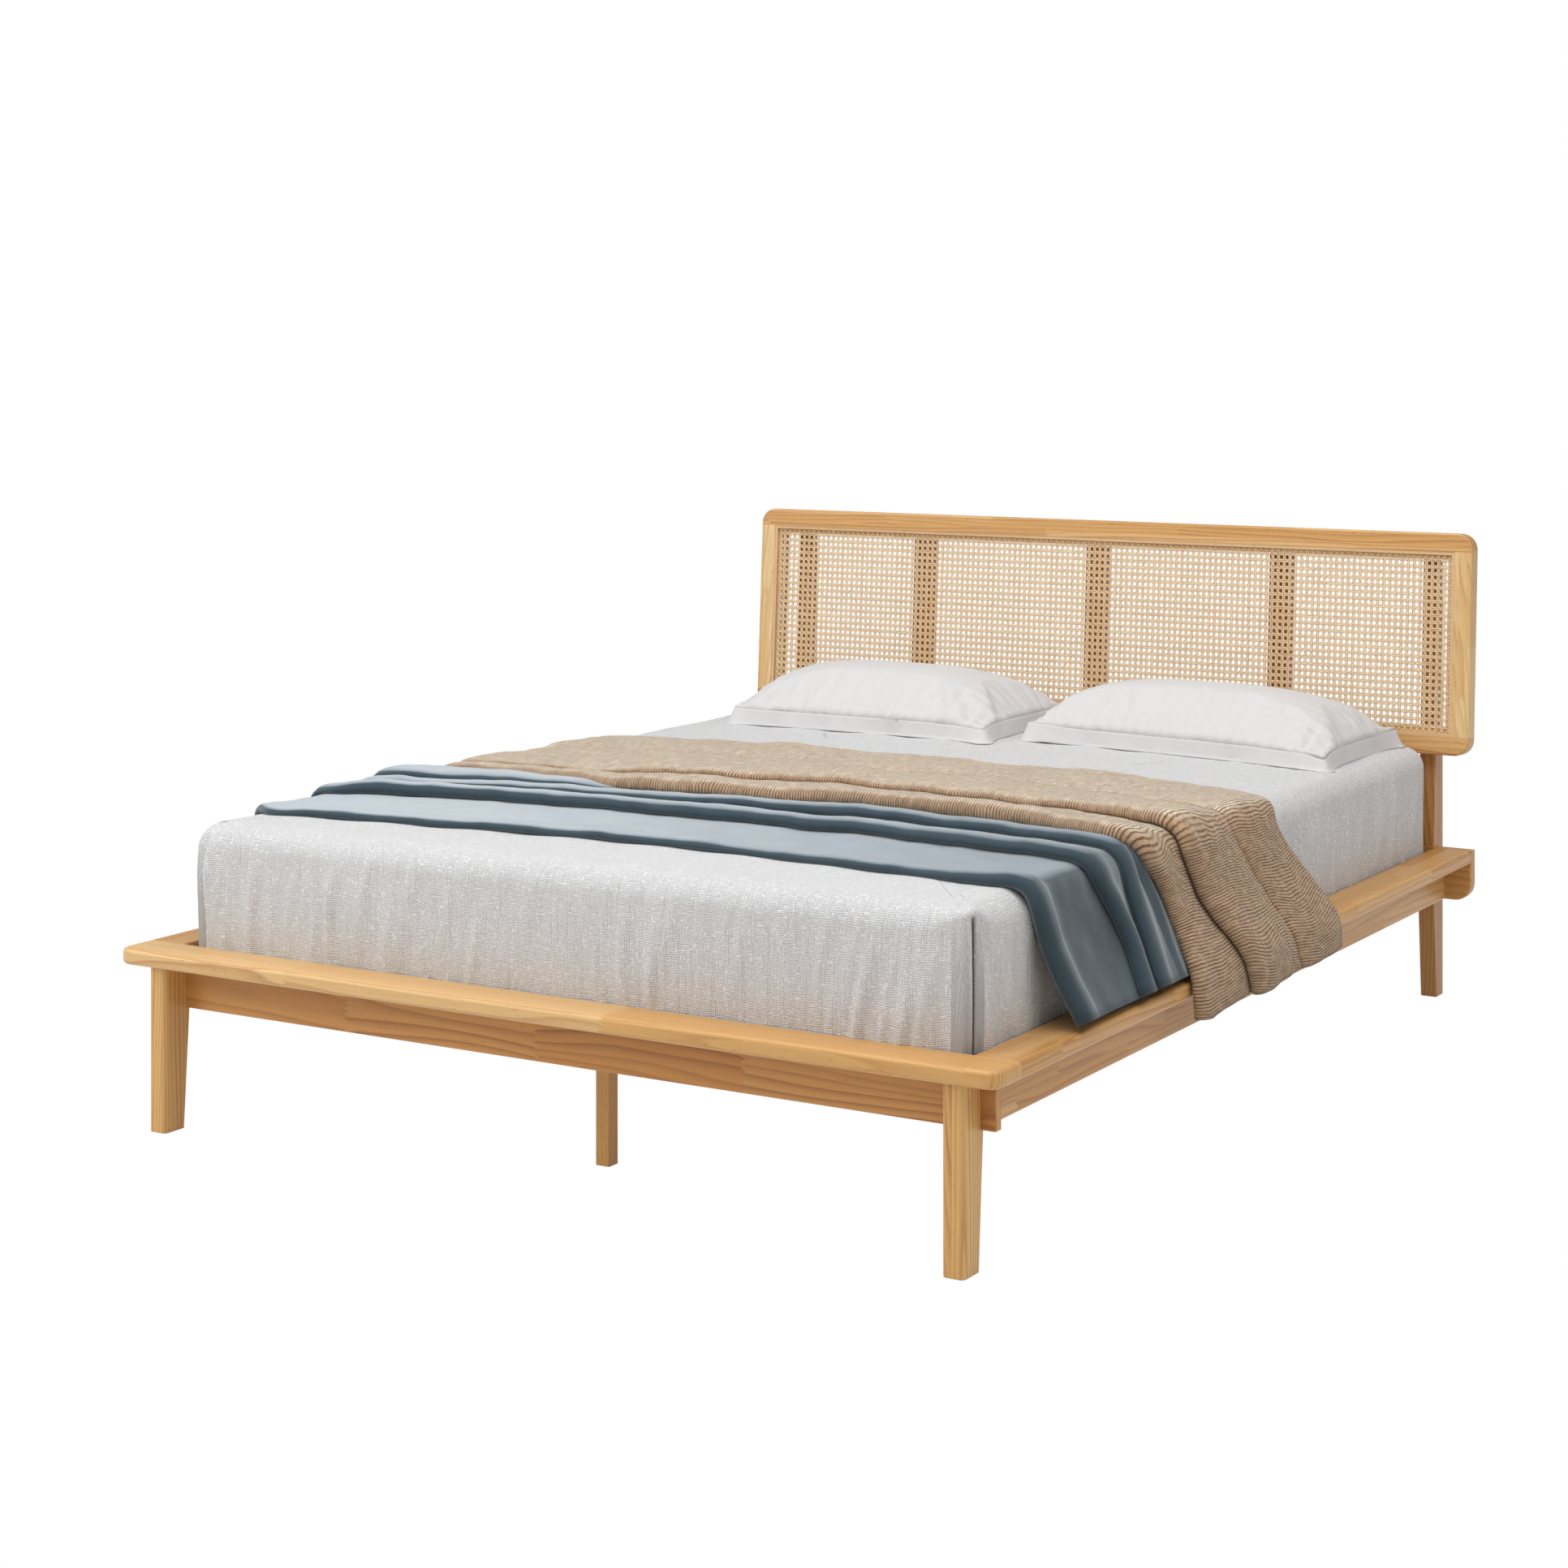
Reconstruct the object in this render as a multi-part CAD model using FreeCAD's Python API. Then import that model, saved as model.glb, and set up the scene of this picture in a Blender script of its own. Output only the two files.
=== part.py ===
"""A low platform bed in light solid wood with a cane headboard, a mattress and its bedding.

Millimetres. X runs across the bed (+X is on the right, seen from the foot), Y runs from
the foot (-Y) to the head (+Y), and Z is up. The origin is on the floor below the middle.
"""
import FreeCAD
import Part
import math
import os

V = FreeCAD.Vector
ACROSS = V(1, 0, 0)
ALONG = V(0, 1, 0)
UP = V(0, 0, 1)
SIDES = {"left": -1, "right": 1}
os.makedirs("parts", exist_ok=True)

# Mattress, the size that the platform is made round
mattress_width = 1520.0
mattress_length = 2028.0
mattress_thickness = 252.0
mattress_corner_radius = 58.0
mattress_edge_radius = 40.0
mattress_bottom_radius = 14.0
mattress_shift = 6.0
mattress_foot_gap = 5.5

# Boards that lie flat round the mattress
play_across = 28.0
play_along = 28.5
ledge_top = 313.0
ledge_thickness = 28.0
side_board_width = 78.0
foot_board_width = 81.0
foot_corner_radius = 25.0
board_edge_radius = 8.0
fine_edge_radius = 2.0

# Rails on edge under and behind the boards
rail_bottom = 210.0
side_rail_thickness = 22.0
apron_thickness = 18.0
apron_bottom = 208.0
apron_setback = 66.0
apron_overhang = 21.5
cross_rail_thickness = 27.0
cross_rail_corner_radius = 35.0
cross_rail_edge_radius = 3.0

# Front legs, tapered on the back face and notched for the apron
front_leg_width = 38.0
front_leg_depth = 62.0
front_leg_foot_depth = 48.0
front_leg_notch = 10.0
front_leg_edge_radius = 9.0
leg_outset = 18.0

# Rear posts: leg and headboard post in one length, notched for the cross rail
post_width = 34.0
post_depth = 57.0
post_foot_depth = 40.0
post_notch = 19.5
post_inset = 3.0
post_height = 946.0
recline = math.radians(3.4)

# Slatted base
slat_count = 15
slat_width = 70.0
slat_thickness = 18.0
slat_end_gap = 3.0
slat_margin = 46.0
slat_edge_radius = 3.0
slat_top = 271.0
cleat_size = 25.0
cleat_end_gap = 42.0
beam_width = 30.0
beam_depth = 43.0
centre_leg_size = 27.0
centre_leg_setback = 169.5
centre_leg_count = 3

# Headboard, measured in its own leaning plane
headboard_width = 1706.0
headboard_height = 455.0
headboard_thickness = 38.0
headboard_rise = 193.0
headboard_corner_radius = 33.0
headboard_edge_radius = 4.0
headboard_rail_face = 38.0
headboard_stile_face = 36.0
rabbet_depth = 8.0
bead_width = 7.0
bead_recess = 1.2
lip_width = 10.0
cane_thickness = 1.5
cane_edge_gap = 0.5
cane_columns = 27
cane_rows = 11
cane_hole_share = 0.62
cane_corner_share = 0.41
upright_width = 50.0
upright_thickness = 20.0
upright_spacing = 430.0

# Bolts and the threaded inserts that they run into
bolt_radius = 3.0
bolt_head_radius = 5.5
bolt_head_height = 5.0
bolt_socket_radius = 2.3
bolt_socket_depth = 3.0
bolt_clearance = 0.25
corner_bolt_length = 42.0
headboard_bolt_grip = 12.0
headboard_bolt_inset = 28.0
front_bolt_inset = 12.0
bolt_spread = 20.0
insert_radius = 4.6
insert_length = 14.0
insert_sink = 1.0
leg_stud_radius = 4.0
leg_stud_length = 60.0

# Screws, dowels and steel brackets
screw_radius = 2.0
screw_head_radius = 4.0
screw_head_height = 2.4
slat_screw_length = 38.0
cleat_screw_length = 40.0
bracket_screw_length = 16.0
dowel_radius = 4.0
dowel_length = 30.0
dowel_end_gap = 1.0
dowel_margin = 80.0
side_dowel_count = 6
apron_dowel_count = 5
board_joint_shares = (0.28, 0.72)
frame_dowel_spread = 16.0
close_fit = 0.05
bracket_thickness = 2.5
bracket_reach = 50.0
bracket_arm = 38.0
bracket_height = 36.0
bracket_lift = 4.0
hanger_plate = 2.0
hanger_reach = 30.0
hanger_ear = 18.0

# Fitted sheet
soft_gap = 0.4
sheet_thickness = 1.6

# Throw, folded across the bed near the foot; distances are from the foot of the bed
throw_front_places = (208.0, 280.0, 312.0, 280.0, 208.0)
throw_rear_places = (646.0, 742.0, 748.0, 742.0, 646.0)
throw_valley = 7.0
throw_fold_shares = (0.0, 0.12, 0.36, 0.58, 0.79, 1.0)
throw_fold_heights = (14.0, 11.0, 25.0, 22.0, 26.0)
throw_hem_inset = 7.0
throw_hem_places = (281.0, 692.0)

# Blanket, folded behind the throw and hanging over the platform's sides
cover_parting = 5.0
blanket_rear_places = (1232.0, 1362.0, 1388.0, 1362.0, 1232.0)
blanket_valley = 8.0
blanket_fold_shares = (0.0, 0.17, 0.60, 1.0)
blanket_fold_heights = (20.0, 17.0, 15.0)
blanket_ledge_gap = 2.0
blanket_ledge_places = (706.0, 1330.0)
blanket_hem_places = (735.0, 1392.0)
blanket_hem_height = 246.0

# Pillows, each with a flat flange round its seam
pillow_width = 662.0
pillow_depth = 392.0
pillow_height = 132.0
pillow_flange = 34.0
pillow_flange_thickness = 5.0
pillow_seam_height = 12.0
pillow_corner_radius = 46.0
pillow_draw_in = 14.0
pillow_head_gap = 26.0
pillow_parting = 10.0
pillow_level_shares = (0.0, 0.09, 0.28, 0.50, 0.70, 0.86, 0.96, 1.0)
pillow_plan_shares = (0.86, 1.0, 0.985, 0.93, 0.83, 0.68, 0.48, 0.20)

# How far cuts run past the faces that they open
cut_overrun = 5.0

# Places that follow from the sizes
inner_half = (mattress_width + play_across) / 2
outer_half = inner_half + side_board_width
ledge_underside = ledge_top - ledge_thickness
slat_bottom = slat_top - slat_thickness
platform_length = foot_board_width + mattress_length + play_along + cross_rail_thickness
overall_length = platform_length - post_notch + post_depth
foot_y = -overall_length / 2
board_back_y = foot_y + foot_board_width
cross_front_y = board_back_y + mattress_length + play_along
cross_back_y = cross_front_y + cross_rail_thickness
apron_front_y = foot_y + apron_setback
apron_back_y = apron_front_y + apron_thickness
apron_half = inner_half + side_rail_thickness + apron_overhang
leg_outer = inner_half + leg_outset
leg_middle = leg_outer - front_leg_width / 2
leg_back_y = apron_front_y + front_leg_notch
leg_front_y = leg_back_y - front_leg_depth
post_outer = inner_half - post_inset
post_middle = post_outer - post_width / 2
post_back_y = overall_length / 2
post_front_y = post_back_y - post_depth
mattress_bottom = slat_top + soft_gap
mattress_top = mattress_bottom + mattress_thickness
mattress_front_y = board_back_y + mattress_foot_gap
mattress_back_y = mattress_front_y + mattress_length

pieces = {}
drillings = {}


def block(x0, x1, y0, y1, z0, z1):
    """A square-edged block between two corners."""
    low = V(min(x0, x1), min(y0, y1), min(z0, z1))
    return Part.makeBox(abs(x1 - x0), abs(y1 - y0), abs(z1 - z0), low)


def rod(point, direction, length, radius):
    """A round bar from a point along a direction."""
    return Part.makeCylinder(radius, length, point, direction)


def prism(points, travel):
    """A flat outline given by its corners, pushed along a vector."""
    return Part.Face(Part.makePolygon(points + points[:1])).extrude(travel)


def same(a, b):
    """Whether two places agree within half of the closest fit."""
    return abs(a - b) < close_fit / 2


def rounded(shape, radius, test):
    """The shape with the edges rounded whose middle point passes the test."""
    chosen = []
    for edge in shape.Edges:
        if test(edge.valueAt((edge.FirstParameter + edge.LastParameter) / 2)):
            chosen.append(edge)
    return shape.makeFillet(radius, chosen)


def spread(count, first, last):
    """Evenly spaced places from the first to the last."""
    return [first + (last - first) * step / (count - 1) for step in range(count)]


def drill(tool, *names):
    """Notes a hole that each named piece gets where the tool passes through it."""
    for name in names:
        drillings.setdefault(name, []).append(tool)


def socket_hole(mouth, direction):
    """The six-sided recess in a bolt's head."""
    aside = UP if abs(direction.dot(UP)) < 0.5 else ACROSS
    other = direction.cross(aside)
    corners = []
    for step in range(6):
        angle = math.radians(60 * step)
        reach = aside * math.cos(angle) + other * math.sin(angle)
        corners.append(mouth + reach * bolt_socket_radius)
    return prism(corners, direction * bolt_socket_depth)


def bolt(seat, direction, length):
    """A socket-head bolt: its shaft runs from the seat, and its head stands behind the seat."""
    head = rod(seat, direction * -1, bolt_head_height, bolt_head_radius)
    body = rod(seat, direction, length, bolt_radius).fuse(head)
    return body.cut(socket_hole(seat - direction * bolt_head_height, direction)).removeSplitter()


def bolt_hole(seat, direction, length):
    """The clearance hole round a bolt's shaft, a little past its tip."""
    return rod(seat, direction, length + cut_overrun / 2, bolt_radius + bolt_clearance)


def insert_at(mouth, direction):
    """A threaded insert sunk below the surface at its mouth."""
    start = mouth + direction * insert_sink
    body = rod(start, direction, insert_length, insert_radius)
    return body.cut(rod(start, direction, insert_length, bolt_radius + close_fit))


def insert_hole(mouth, direction):
    """The hole for an insert, open through the surface at its mouth."""
    depth = insert_sink + insert_length + cut_overrun
    return rod(mouth - direction * cut_overrun, direction, depth, insert_radius + close_fit)


def screw(seat, direction, length, gap=0.0):
    """A countersunk screw flush with its seat or, with a gap, the hole that takes it."""
    start = seat - direction * gap
    head = Part.makeCone(screw_head_radius + gap, screw_radius + gap, screw_head_height + gap,
                         start, direction)
    return rod(start, direction, length + gap * 2, screw_radius + gap).fuse(head).removeSplitter()


def dowel(middle, direction, gap=0.0):
    """A dowel centred on a joint or, with a gap, the hole that takes it."""
    half = dowel_length / 2 + (dowel_end_gap if gap else 0.0)
    return rod(middle - direction * half, direction, half * 2, dowel_radius + gap)


# Foot board: laid flat, round at its two front corners, softened on three sides
foot_board = block(-outer_half, outer_half, foot_y, board_back_y, ledge_underside, ledge_top)
foot_board = rounded(foot_board, foot_corner_radius,
                     lambda p: same(p.y, foot_y) and same(abs(p.x), outer_half))
for level in (ledge_top, ledge_underside):
    foot_board = rounded(foot_board, board_edge_radius,
                         lambda p: same(p.z, level) and not same(p.y, board_back_y))
pieces["foot_board"] = foot_board

# Side boards: laid flat, butted between the foot board and the cross rail
for name, side in SIDES.items():
    board = block(side * inner_half, side * outer_half, board_back_y, cross_front_y,
                  ledge_underside, ledge_top)
    board = rounded(board, board_edge_radius,
                    lambda p: same(abs(p.x), outer_half) and not same(p.z, (ledge_top + ledge_underside) / 2))
    pieces[name + "_side_board"] = rounded(
        board, fine_edge_radius, lambda p: same(abs(p.x), inner_half) and same(p.z, ledge_top))

# Cross rail at the head, on edge, level with the boards, with round lower corners
cross_rail = block(-outer_half, outer_half, cross_front_y, cross_back_y, rail_bottom, ledge_top)
cross_rail = rounded(cross_rail, cross_rail_corner_radius,
                     lambda p: same(p.z, rail_bottom) and same(abs(p.x), outer_half))
pieces["head_cross_rail"] = rounded(
    cross_rail, cross_rail_edge_radius,
    lambda p: same(p.y, cross_back_y) or same(p.y, cross_front_y) and p.z < ledge_underside
    and not same(p.x, 0))

# Apron across the foot, and a rail under each side board
apron = block(-apron_half, apron_half, apron_front_y, apron_back_y, apron_bottom, ledge_underside)
pieces["foot_apron"] = rounded(
    apron, fine_edge_radius,
    lambda p: same(p.z, apron_bottom) or same(abs(p.x), apron_half) and not same(p.z, ledge_underside))
for name, side in SIDES.items():
    rail = block(side * inner_half, side * (inner_half + side_rail_thickness),
                 apron_back_y, cross_front_y, rail_bottom, ledge_underside)
    pieces[name + "_side_rail"] = rounded(
        rail, fine_edge_radius,
        lambda p: same(p.z, rail_bottom) and not same(p.y, apron_back_y) and not same(p.y, cross_front_y))

# Front legs: the back face leans in towards the floor, and a notch takes the apron
for name, side in SIDES.items():
    start = side * (leg_outer - front_leg_width)
    outline = [
        V(start, leg_front_y, 0),
        V(start, leg_front_y, ledge_underside),
        V(start, apron_front_y, ledge_underside),
        V(start, apron_front_y, apron_bottom),
        V(start, leg_back_y, apron_bottom),
        V(start, leg_front_y + front_leg_foot_depth, 0),
    ]
    leg = prism(outline, ACROSS * (side * front_leg_width))
    leg = rounded(leg, front_leg_edge_radius,
                  lambda p: same(p.y, leg_front_y) and same(p.z, ledge_underside / 2))
    leg = rounded(leg, fine_edge_radius,
                  lambda p: same(p.z, apron_bottom / 2) and p.y > leg_front_y + front_leg_foot_depth)
    pieces["front_" + name + "_leg"] = leg.makeChamfer(
        fine_edge_radius / 2, [e for e in leg.Edges if all(same(v.Z, 0) for v in e.Vertexes)])

# Rear posts: tapered below, leaning above, with a notch that rides over the cross rail
post_top_y = post_front_y + (post_height - ledge_top) * math.tan(recline)
for name, side in SIDES.items():
    start = side * (post_outer - post_width)
    outline = [
        V(start, post_back_y, 0),
        V(start, post_back_y, post_height),
        V(start, post_top_y, post_height),
        V(start, post_front_y, ledge_top),
        V(start, cross_back_y, ledge_top),
        V(start, cross_back_y, rail_bottom),
        V(start, post_front_y, rail_bottom),
        V(start, post_back_y - post_foot_depth, 0),
    ]
    post = prism(outline, ACROSS * (side * post_width))
    lengthwise = (post_height / 2, (post_height + ledge_top) / 2, rail_bottom / 2)
    post = rounded(post, fine_edge_radius, lambda p: any(same(p.z, z) for z in lengthwise))
    pieces["rear_" + name + "_post"] = post.makeChamfer(
        fine_edge_radius / 2, [e for e in post.Edges if all(same(v.Z, 0) for v in e.Vertexes)])

# Slat cleats along the side rails, held by a row of screws between the slats
slat_first_y = apron_back_y + slat_margin + slat_width / 2
slat_last_y = cross_front_y - slat_margin - slat_width / 2
slat_places = spread(slat_count, slat_first_y, slat_last_y)
cleat_screws = []
for name, side in SIDES.items():
    cleat = block(side * (inner_half - cleat_size), side * inner_half, apron_back_y + cleat_end_gap,
                  cross_front_y - cleat_end_gap, slat_bottom - cleat_size, slat_bottom)
    pieces[name + "_slat_cleat"] = cleat
    for step in range(0, slat_count - 1, 2):
        place = (slat_places[step] + slat_places[step + 1]) / 2
        seat = V(side * (inner_half - cleat_size), place, slat_bottom - cleat_size / 2)
        cleat_screws.append(screw(seat, ACROSS * side, cleat_screw_length))
        drill(screw(seat, ACROSS * side, cleat_screw_length, close_fit),
              name + "_slat_cleat", name + "_side_rail")

# Slats across the cleats and the centre beam, one screw at each end
slat_screws = []
for number, place in enumerate(slat_places, start=1):
    name = "slat_%02d" % number
    half = inner_half - slat_end_gap
    slat = block(-half, half, place - slat_width / 2, place + slat_width / 2, slat_bottom, slat_top)
    pieces[name] = rounded(slat, slat_edge_radius, lambda p: same(p.x, 0) and same(p.z, slat_top))
    for side_name, side in SIDES.items():
        seat = V(side * (inner_half - cleat_size / 2), place, slat_top)
        slat_screws.append(screw(seat, UP * -1, slat_screw_length))
        drill(screw(seat, UP * -1, slat_screw_length, close_fit), name, side_name + "_slat_cleat")

# Centre beam between two steel hangers
beam_bottom = slat_bottom - beam_depth
beam_half = beam_width / 2
pieces["centre_beam"] = block(-beam_half, beam_half, apron_back_y + hanger_plate,
                              cross_front_y - hanger_plate, beam_bottom, slat_bottom)
hangers = []
hanger_screws = []
cheek_half = beam_half + hanger_plate
for wall_y, toward, wall_name in ((apron_back_y, 1, "foot_apron"), (cross_front_y, -1, "head_cross_rail")):
    face_y = wall_y + toward * hanger_plate
    tray = block(-cheek_half, cheek_half, wall_y, wall_y + toward * hanger_reach,
                 beam_bottom - hanger_plate, slat_bottom - hanger_plate)
    tray = tray.cut(block(-beam_half, beam_half, face_y, wall_y + toward * (hanger_reach + cut_overrun),
                          beam_bottom, slat_bottom))
    wings = block(-cheek_half - hanger_ear, cheek_half + hanger_ear, wall_y, face_y,
                  beam_bottom - hanger_plate, slat_bottom - hanger_plate)
    hanger = tray.fuse(wings).removeSplitter()
    for side in SIDES.values():
        seat = V(side * (cheek_half + hanger_ear / 2), face_y, beam_bottom + beam_depth / 2)
        hanger_screws.append(screw(seat, ALONG * -toward, bracket_screw_length))
        hole = screw(seat, ALONG * -toward, bracket_screw_length, close_fit)
        hanger = hanger.cut(hole)
        drill(hole, wall_name)
    hangers.append(hanger)

# Centre legs, each screwed on a stud that stands out of the beam
leg_studs = []
leg_places = spread(centre_leg_count, apron_back_y + centre_leg_setback, cross_front_y - centre_leg_setback)
for number, place in enumerate(leg_places, start=1):
    half = centre_leg_size / 2
    leg = block(-half, half, place - half, place + half, 0, beam_bottom)
    leg = rounded(leg, fine_edge_radius, lambda p: same(p.z, beam_bottom / 2))
    pieces["centre_leg_%d" % number] = leg
    start = V(0, place, beam_bottom - leg_stud_length / 2)
    leg_studs.append(rod(start, UP, leg_stud_length, leg_stud_radius))
    hole = rod(start - UP * dowel_end_gap, UP, leg_stud_length + dowel_end_gap * 2,
               leg_stud_radius + close_fit)
    drill(hole, "centre_leg_%d" % number, "centre_beam")

# Steel brackets in the four corners, their bolts, inserts and screws
corner_brackets = []
corner_bolts = []
inserts = []
bracket_screws = []
bracket_bottom = rail_bottom + bracket_lift
bracket_middle = bracket_bottom + bracket_height / 2
for side_name, side in SIDES.items():
    front_bolt_x = inner_half - front_bolt_inset
    front_leg = "front_" + side_name + "_leg"
    rear_post = "rear_" + side_name + "_post"
    corners = (
        (apron_back_y, 1, front_bolt_x, apron_front_y, "foot_apron", front_leg),
        (cross_front_y, -1, post_middle, cross_back_y, "head_cross_rail", rear_post),
    )
    for wall_y, toward, bolt_x, far_y, wall_name, leg_name in corners:
        face_y = wall_y + toward * bracket_thickness
        plate = block(side * (inner_half - bracket_reach), side * inner_half, wall_y, face_y,
                      bracket_bottom, bracket_bottom + bracket_height)
        arm = block(side * (inner_half - bracket_thickness), side * inner_half, wall_y,
                    wall_y + toward * bracket_arm, bracket_bottom, bracket_bottom + bracket_height)
        bracket = plate.fuse(arm).removeSplitter()
        for offset in (-bolt_spread / 2, bolt_spread / 2):
            seat = V(side * bolt_x, face_y, bracket_middle + offset)
            way = ALONG * -toward
            corner_bolts.append(bolt(seat, way, corner_bolt_length))
            hole = bolt_hole(seat, way, corner_bolt_length)
            bracket = bracket.cut(hole)
            drill(hole, wall_name, leg_name)
            mouth = V(side * bolt_x, far_y, bracket_middle + offset)
            inserts.append(insert_at(mouth, way))
            drill(insert_hole(mouth, way), leg_name)
            screw_y = wall_y + toward * (bracket_arm / 2 + offset / 2 + bracket_thickness)
            screw_seat = V(side * (inner_half - bracket_thickness), screw_y, bracket_middle)
            bracket_screws.append(screw(screw_seat, ACROSS * side, bracket_screw_length))
            hole = screw(screw_seat, ACROSS * side, bracket_screw_length, close_fit)
            bracket = bracket.cut(hole)
            drill(hole, side_name + "_side_rail")
        corner_brackets.append(bracket)

# Dowels that set the flat boards on the rails, legs and cross rail
ledge_dowels = []


def ledge_dowel(point, direction, *names):
    """One dowel of the platform, with its hole in both of the pieces that it joins."""
    ledge_dowels.append(dowel(point, direction))
    drill(dowel(point, direction, close_fit), *names)


for side_name, side in SIDES.items():
    board_name = side_name + "_side_board"
    rail_middle = side * (inner_half + side_rail_thickness / 2)
    for place in spread(side_dowel_count, board_back_y + dowel_margin, cross_front_y - dowel_margin):
        ledge_dowel(V(rail_middle, place, ledge_underside), UP, board_name, side_name + "_side_rail")
    for share in board_joint_shares:
        joint_x = side * (inner_half + side_board_width * share)
        joint_z = (ledge_top + ledge_underside) / 2
        ledge_dowel(V(joint_x, board_back_y, joint_z), ALONG, board_name, "foot_board")
        ledge_dowel(V(joint_x, cross_front_y, joint_z), ALONG, board_name, "head_cross_rail")
    leg_point = V(side * leg_middle, (leg_front_y + apron_front_y) / 2, ledge_underside)
    ledge_dowel(leg_point, UP, "foot_board", "front_" + side_name + "_leg")
for place in spread(apron_dowel_count, dowel_margin - leg_middle, leg_middle - dowel_margin):
    seat_y = apron_front_y + (board_back_y - apron_front_y) / 2
    ledge_dowel(V(place, seat_y, ledge_underside), UP, "foot_board", "foot_apron")

# Headboard frame, drawn upright: its back is at Y zero and its lower edge at Z zero
half_width = headboard_width / 2
opening_half = half_width - headboard_stile_face
opening_low = headboard_rail_face
opening_high = headboard_height - headboard_rail_face
lip = bead_width + lip_width
lip_front = rabbet_depth - headboard_thickness
for name, outer_z, seam_z, inward in (("top", headboard_height, opening_high, -1),
                                      ("bottom", 0.0, opening_low, 1)):
    rail = block(-half_width, half_width, -headboard_thickness, 0, outer_z, seam_z)
    rail = rounded(rail, headboard_corner_radius,
                   lambda p: same(p.z, outer_z) and same(abs(p.x), half_width))
    rail = rounded(rail, headboard_edge_radius,
                   lambda p: (same(p.y, 0) or same(p.y, -headboard_thickness)) and not same(p.z, seam_z))
    rest = block(-opening_half, opening_half, lip_front, 0, seam_z, seam_z + inward * lip)
    pieces["headboard_%s_rail" % name] = rail.fuse(rest).removeSplitter()
for name, side in SIDES.items():
    stile = block(side * opening_half, side * half_width, -headboard_thickness, 0, opening_low, opening_high)
    stile = rounded(stile, headboard_edge_radius,
                    lambda p: same(abs(p.x), half_width) and same(p.z, headboard_height / 2))
    rest = block(side * (opening_half - lip), side * opening_half, lip_front, 0,
                 opening_low + lip, opening_high - lip)
    pieces["headboard_%s_stile" % name] = stile.fuse(rest).removeSplitter()

# Cane panel: one sheet with a coarse grid of eight-sided holes, laid on the lip
cane_back = lip_front
cane_front = cane_back - cane_thickness
panel_half = opening_half - cane_edge_gap
panel_low = opening_low + cane_edge_gap
panel_high = opening_high - cane_edge_gap
pitch_x = 2 * (opening_half - bead_width) / cane_columns
pitch_z = (opening_high - opening_low - 2 * bead_width) / cane_rows


def cane_hole(x, z):
    """The outline of one hole: a rectangle with its four corners cut off."""
    wide = pitch_x * cane_hole_share / 2
    tall = pitch_z * cane_hole_share / 2
    wide_flat = wide * cane_corner_share
    tall_flat = tall * cane_corner_share
    offsets = ((wide, tall_flat), (wide_flat, tall), (-wide_flat, tall), (-wide, tall_flat),
               (-wide, -tall_flat), (-wide_flat, -tall), (wide_flat, -tall), (wide, -tall_flat))
    corners = [V(x + dx, cane_front, z + dz) for dx, dz in offsets]
    return Part.makePolygon(corners + corners[:1])


outlines = [Part.makePolygon([
    V(-panel_half, cane_front, panel_low),
    V(panel_half, cane_front, panel_low),
    V(panel_half, cane_front, panel_high),
    V(-panel_half, cane_front, panel_high),
    V(-panel_half, cane_front, panel_low),
])]
for column in range(cane_columns):
    for row in range(cane_rows):
        hole_x = bead_width - opening_half + pitch_x * (column + 1 / 2)
        hole_z = opening_low + bead_width + pitch_z * (row + 1 / 2)
        outlines.append(cane_hole(hole_x, hole_z))
panel_face = Part.makeFace(outlines, "Part::FaceMakerBullseye")
pieces["cane_panel"] = panel_face.extrude(ALONG * cane_thickness)

# Bead round the cane: four mitred strips that press it on the lip
bead_front = bead_recess - headboard_thickness
bead_travel = ALONG * (cane_front - bead_front)
bead_strips = []
for z, inward in ((opening_high, -1), (opening_low, 1)):
    bead_strips.append(prism([
        V(-opening_half, bead_front, z),
        V(opening_half, bead_front, z),
        V(opening_half - bead_width, bead_front, z + inward * bead_width),
        V(bead_width - opening_half, bead_front, z + inward * bead_width),
    ], bead_travel))
for side in SIDES.values():
    bead_strips.append(prism([
        V(side * opening_half, bead_front, opening_low),
        V(side * opening_half, bead_front, opening_high),
        V(side * (opening_half - bead_width), bead_front, opening_high - bead_width),
        V(side * (opening_half - bead_width), bead_front, opening_low + bead_width),
    ], bead_travel))

# Uprights behind the cane, level with the back of the frame
upright_places = {"left": -upright_spacing, "middle": 0.0, "right": upright_spacing}
for name, place in upright_places.items():
    upright = block(place - upright_width / 2, place + upright_width / 2, -upright_thickness, 0,
                    opening_low + lip, opening_high - lip)
    pieces["headboard_upright_" + name] = upright

# Dowels inside the headboard: two at each corner and one at each end of an upright
headboard_dowels = []
for seam_z, rail_name in ((opening_low, "headboard_bottom_rail"), (opening_high, "headboard_top_rail")):
    for side_name, side in SIDES.items():
        for offset in (-frame_dowel_spread / 2, frame_dowel_spread / 2):
            joint_x = side * (half_width - headboard_stile_face / 2 + offset)
            point = V(joint_x, -headboard_thickness / 2, seam_z)
            headboard_dowels.append(dowel(point, UP))
            drill(dowel(point, UP, close_fit), rail_name, "headboard_%s_stile" % side_name)
for lip_z, rail_name in ((opening_low + lip, "headboard_bottom_rail"),
                         (opening_high - lip, "headboard_top_rail")):
    for name, place in upright_places.items():
        point = V(place, -upright_thickness / 2, lip_z)
        headboard_dowels.append(dowel(point, UP))
        drill(dowel(point, UP, close_fit), rail_name, "headboard_upright_" + name)

# The headboard leans back against the posts
lean_base = V(0, post_front_y + headboard_rise * math.sin(recline),
              ledge_top + headboard_rise * math.cos(recline))


def leaned(shape):
    """A shape of the upright headboard, turned and raised to its place on the posts."""
    moved = shape.copy()
    moved.rotate(V(0, 0, 0), ACROSS, -math.degrees(recline))
    moved.translate(lean_base)
    return moved


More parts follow.
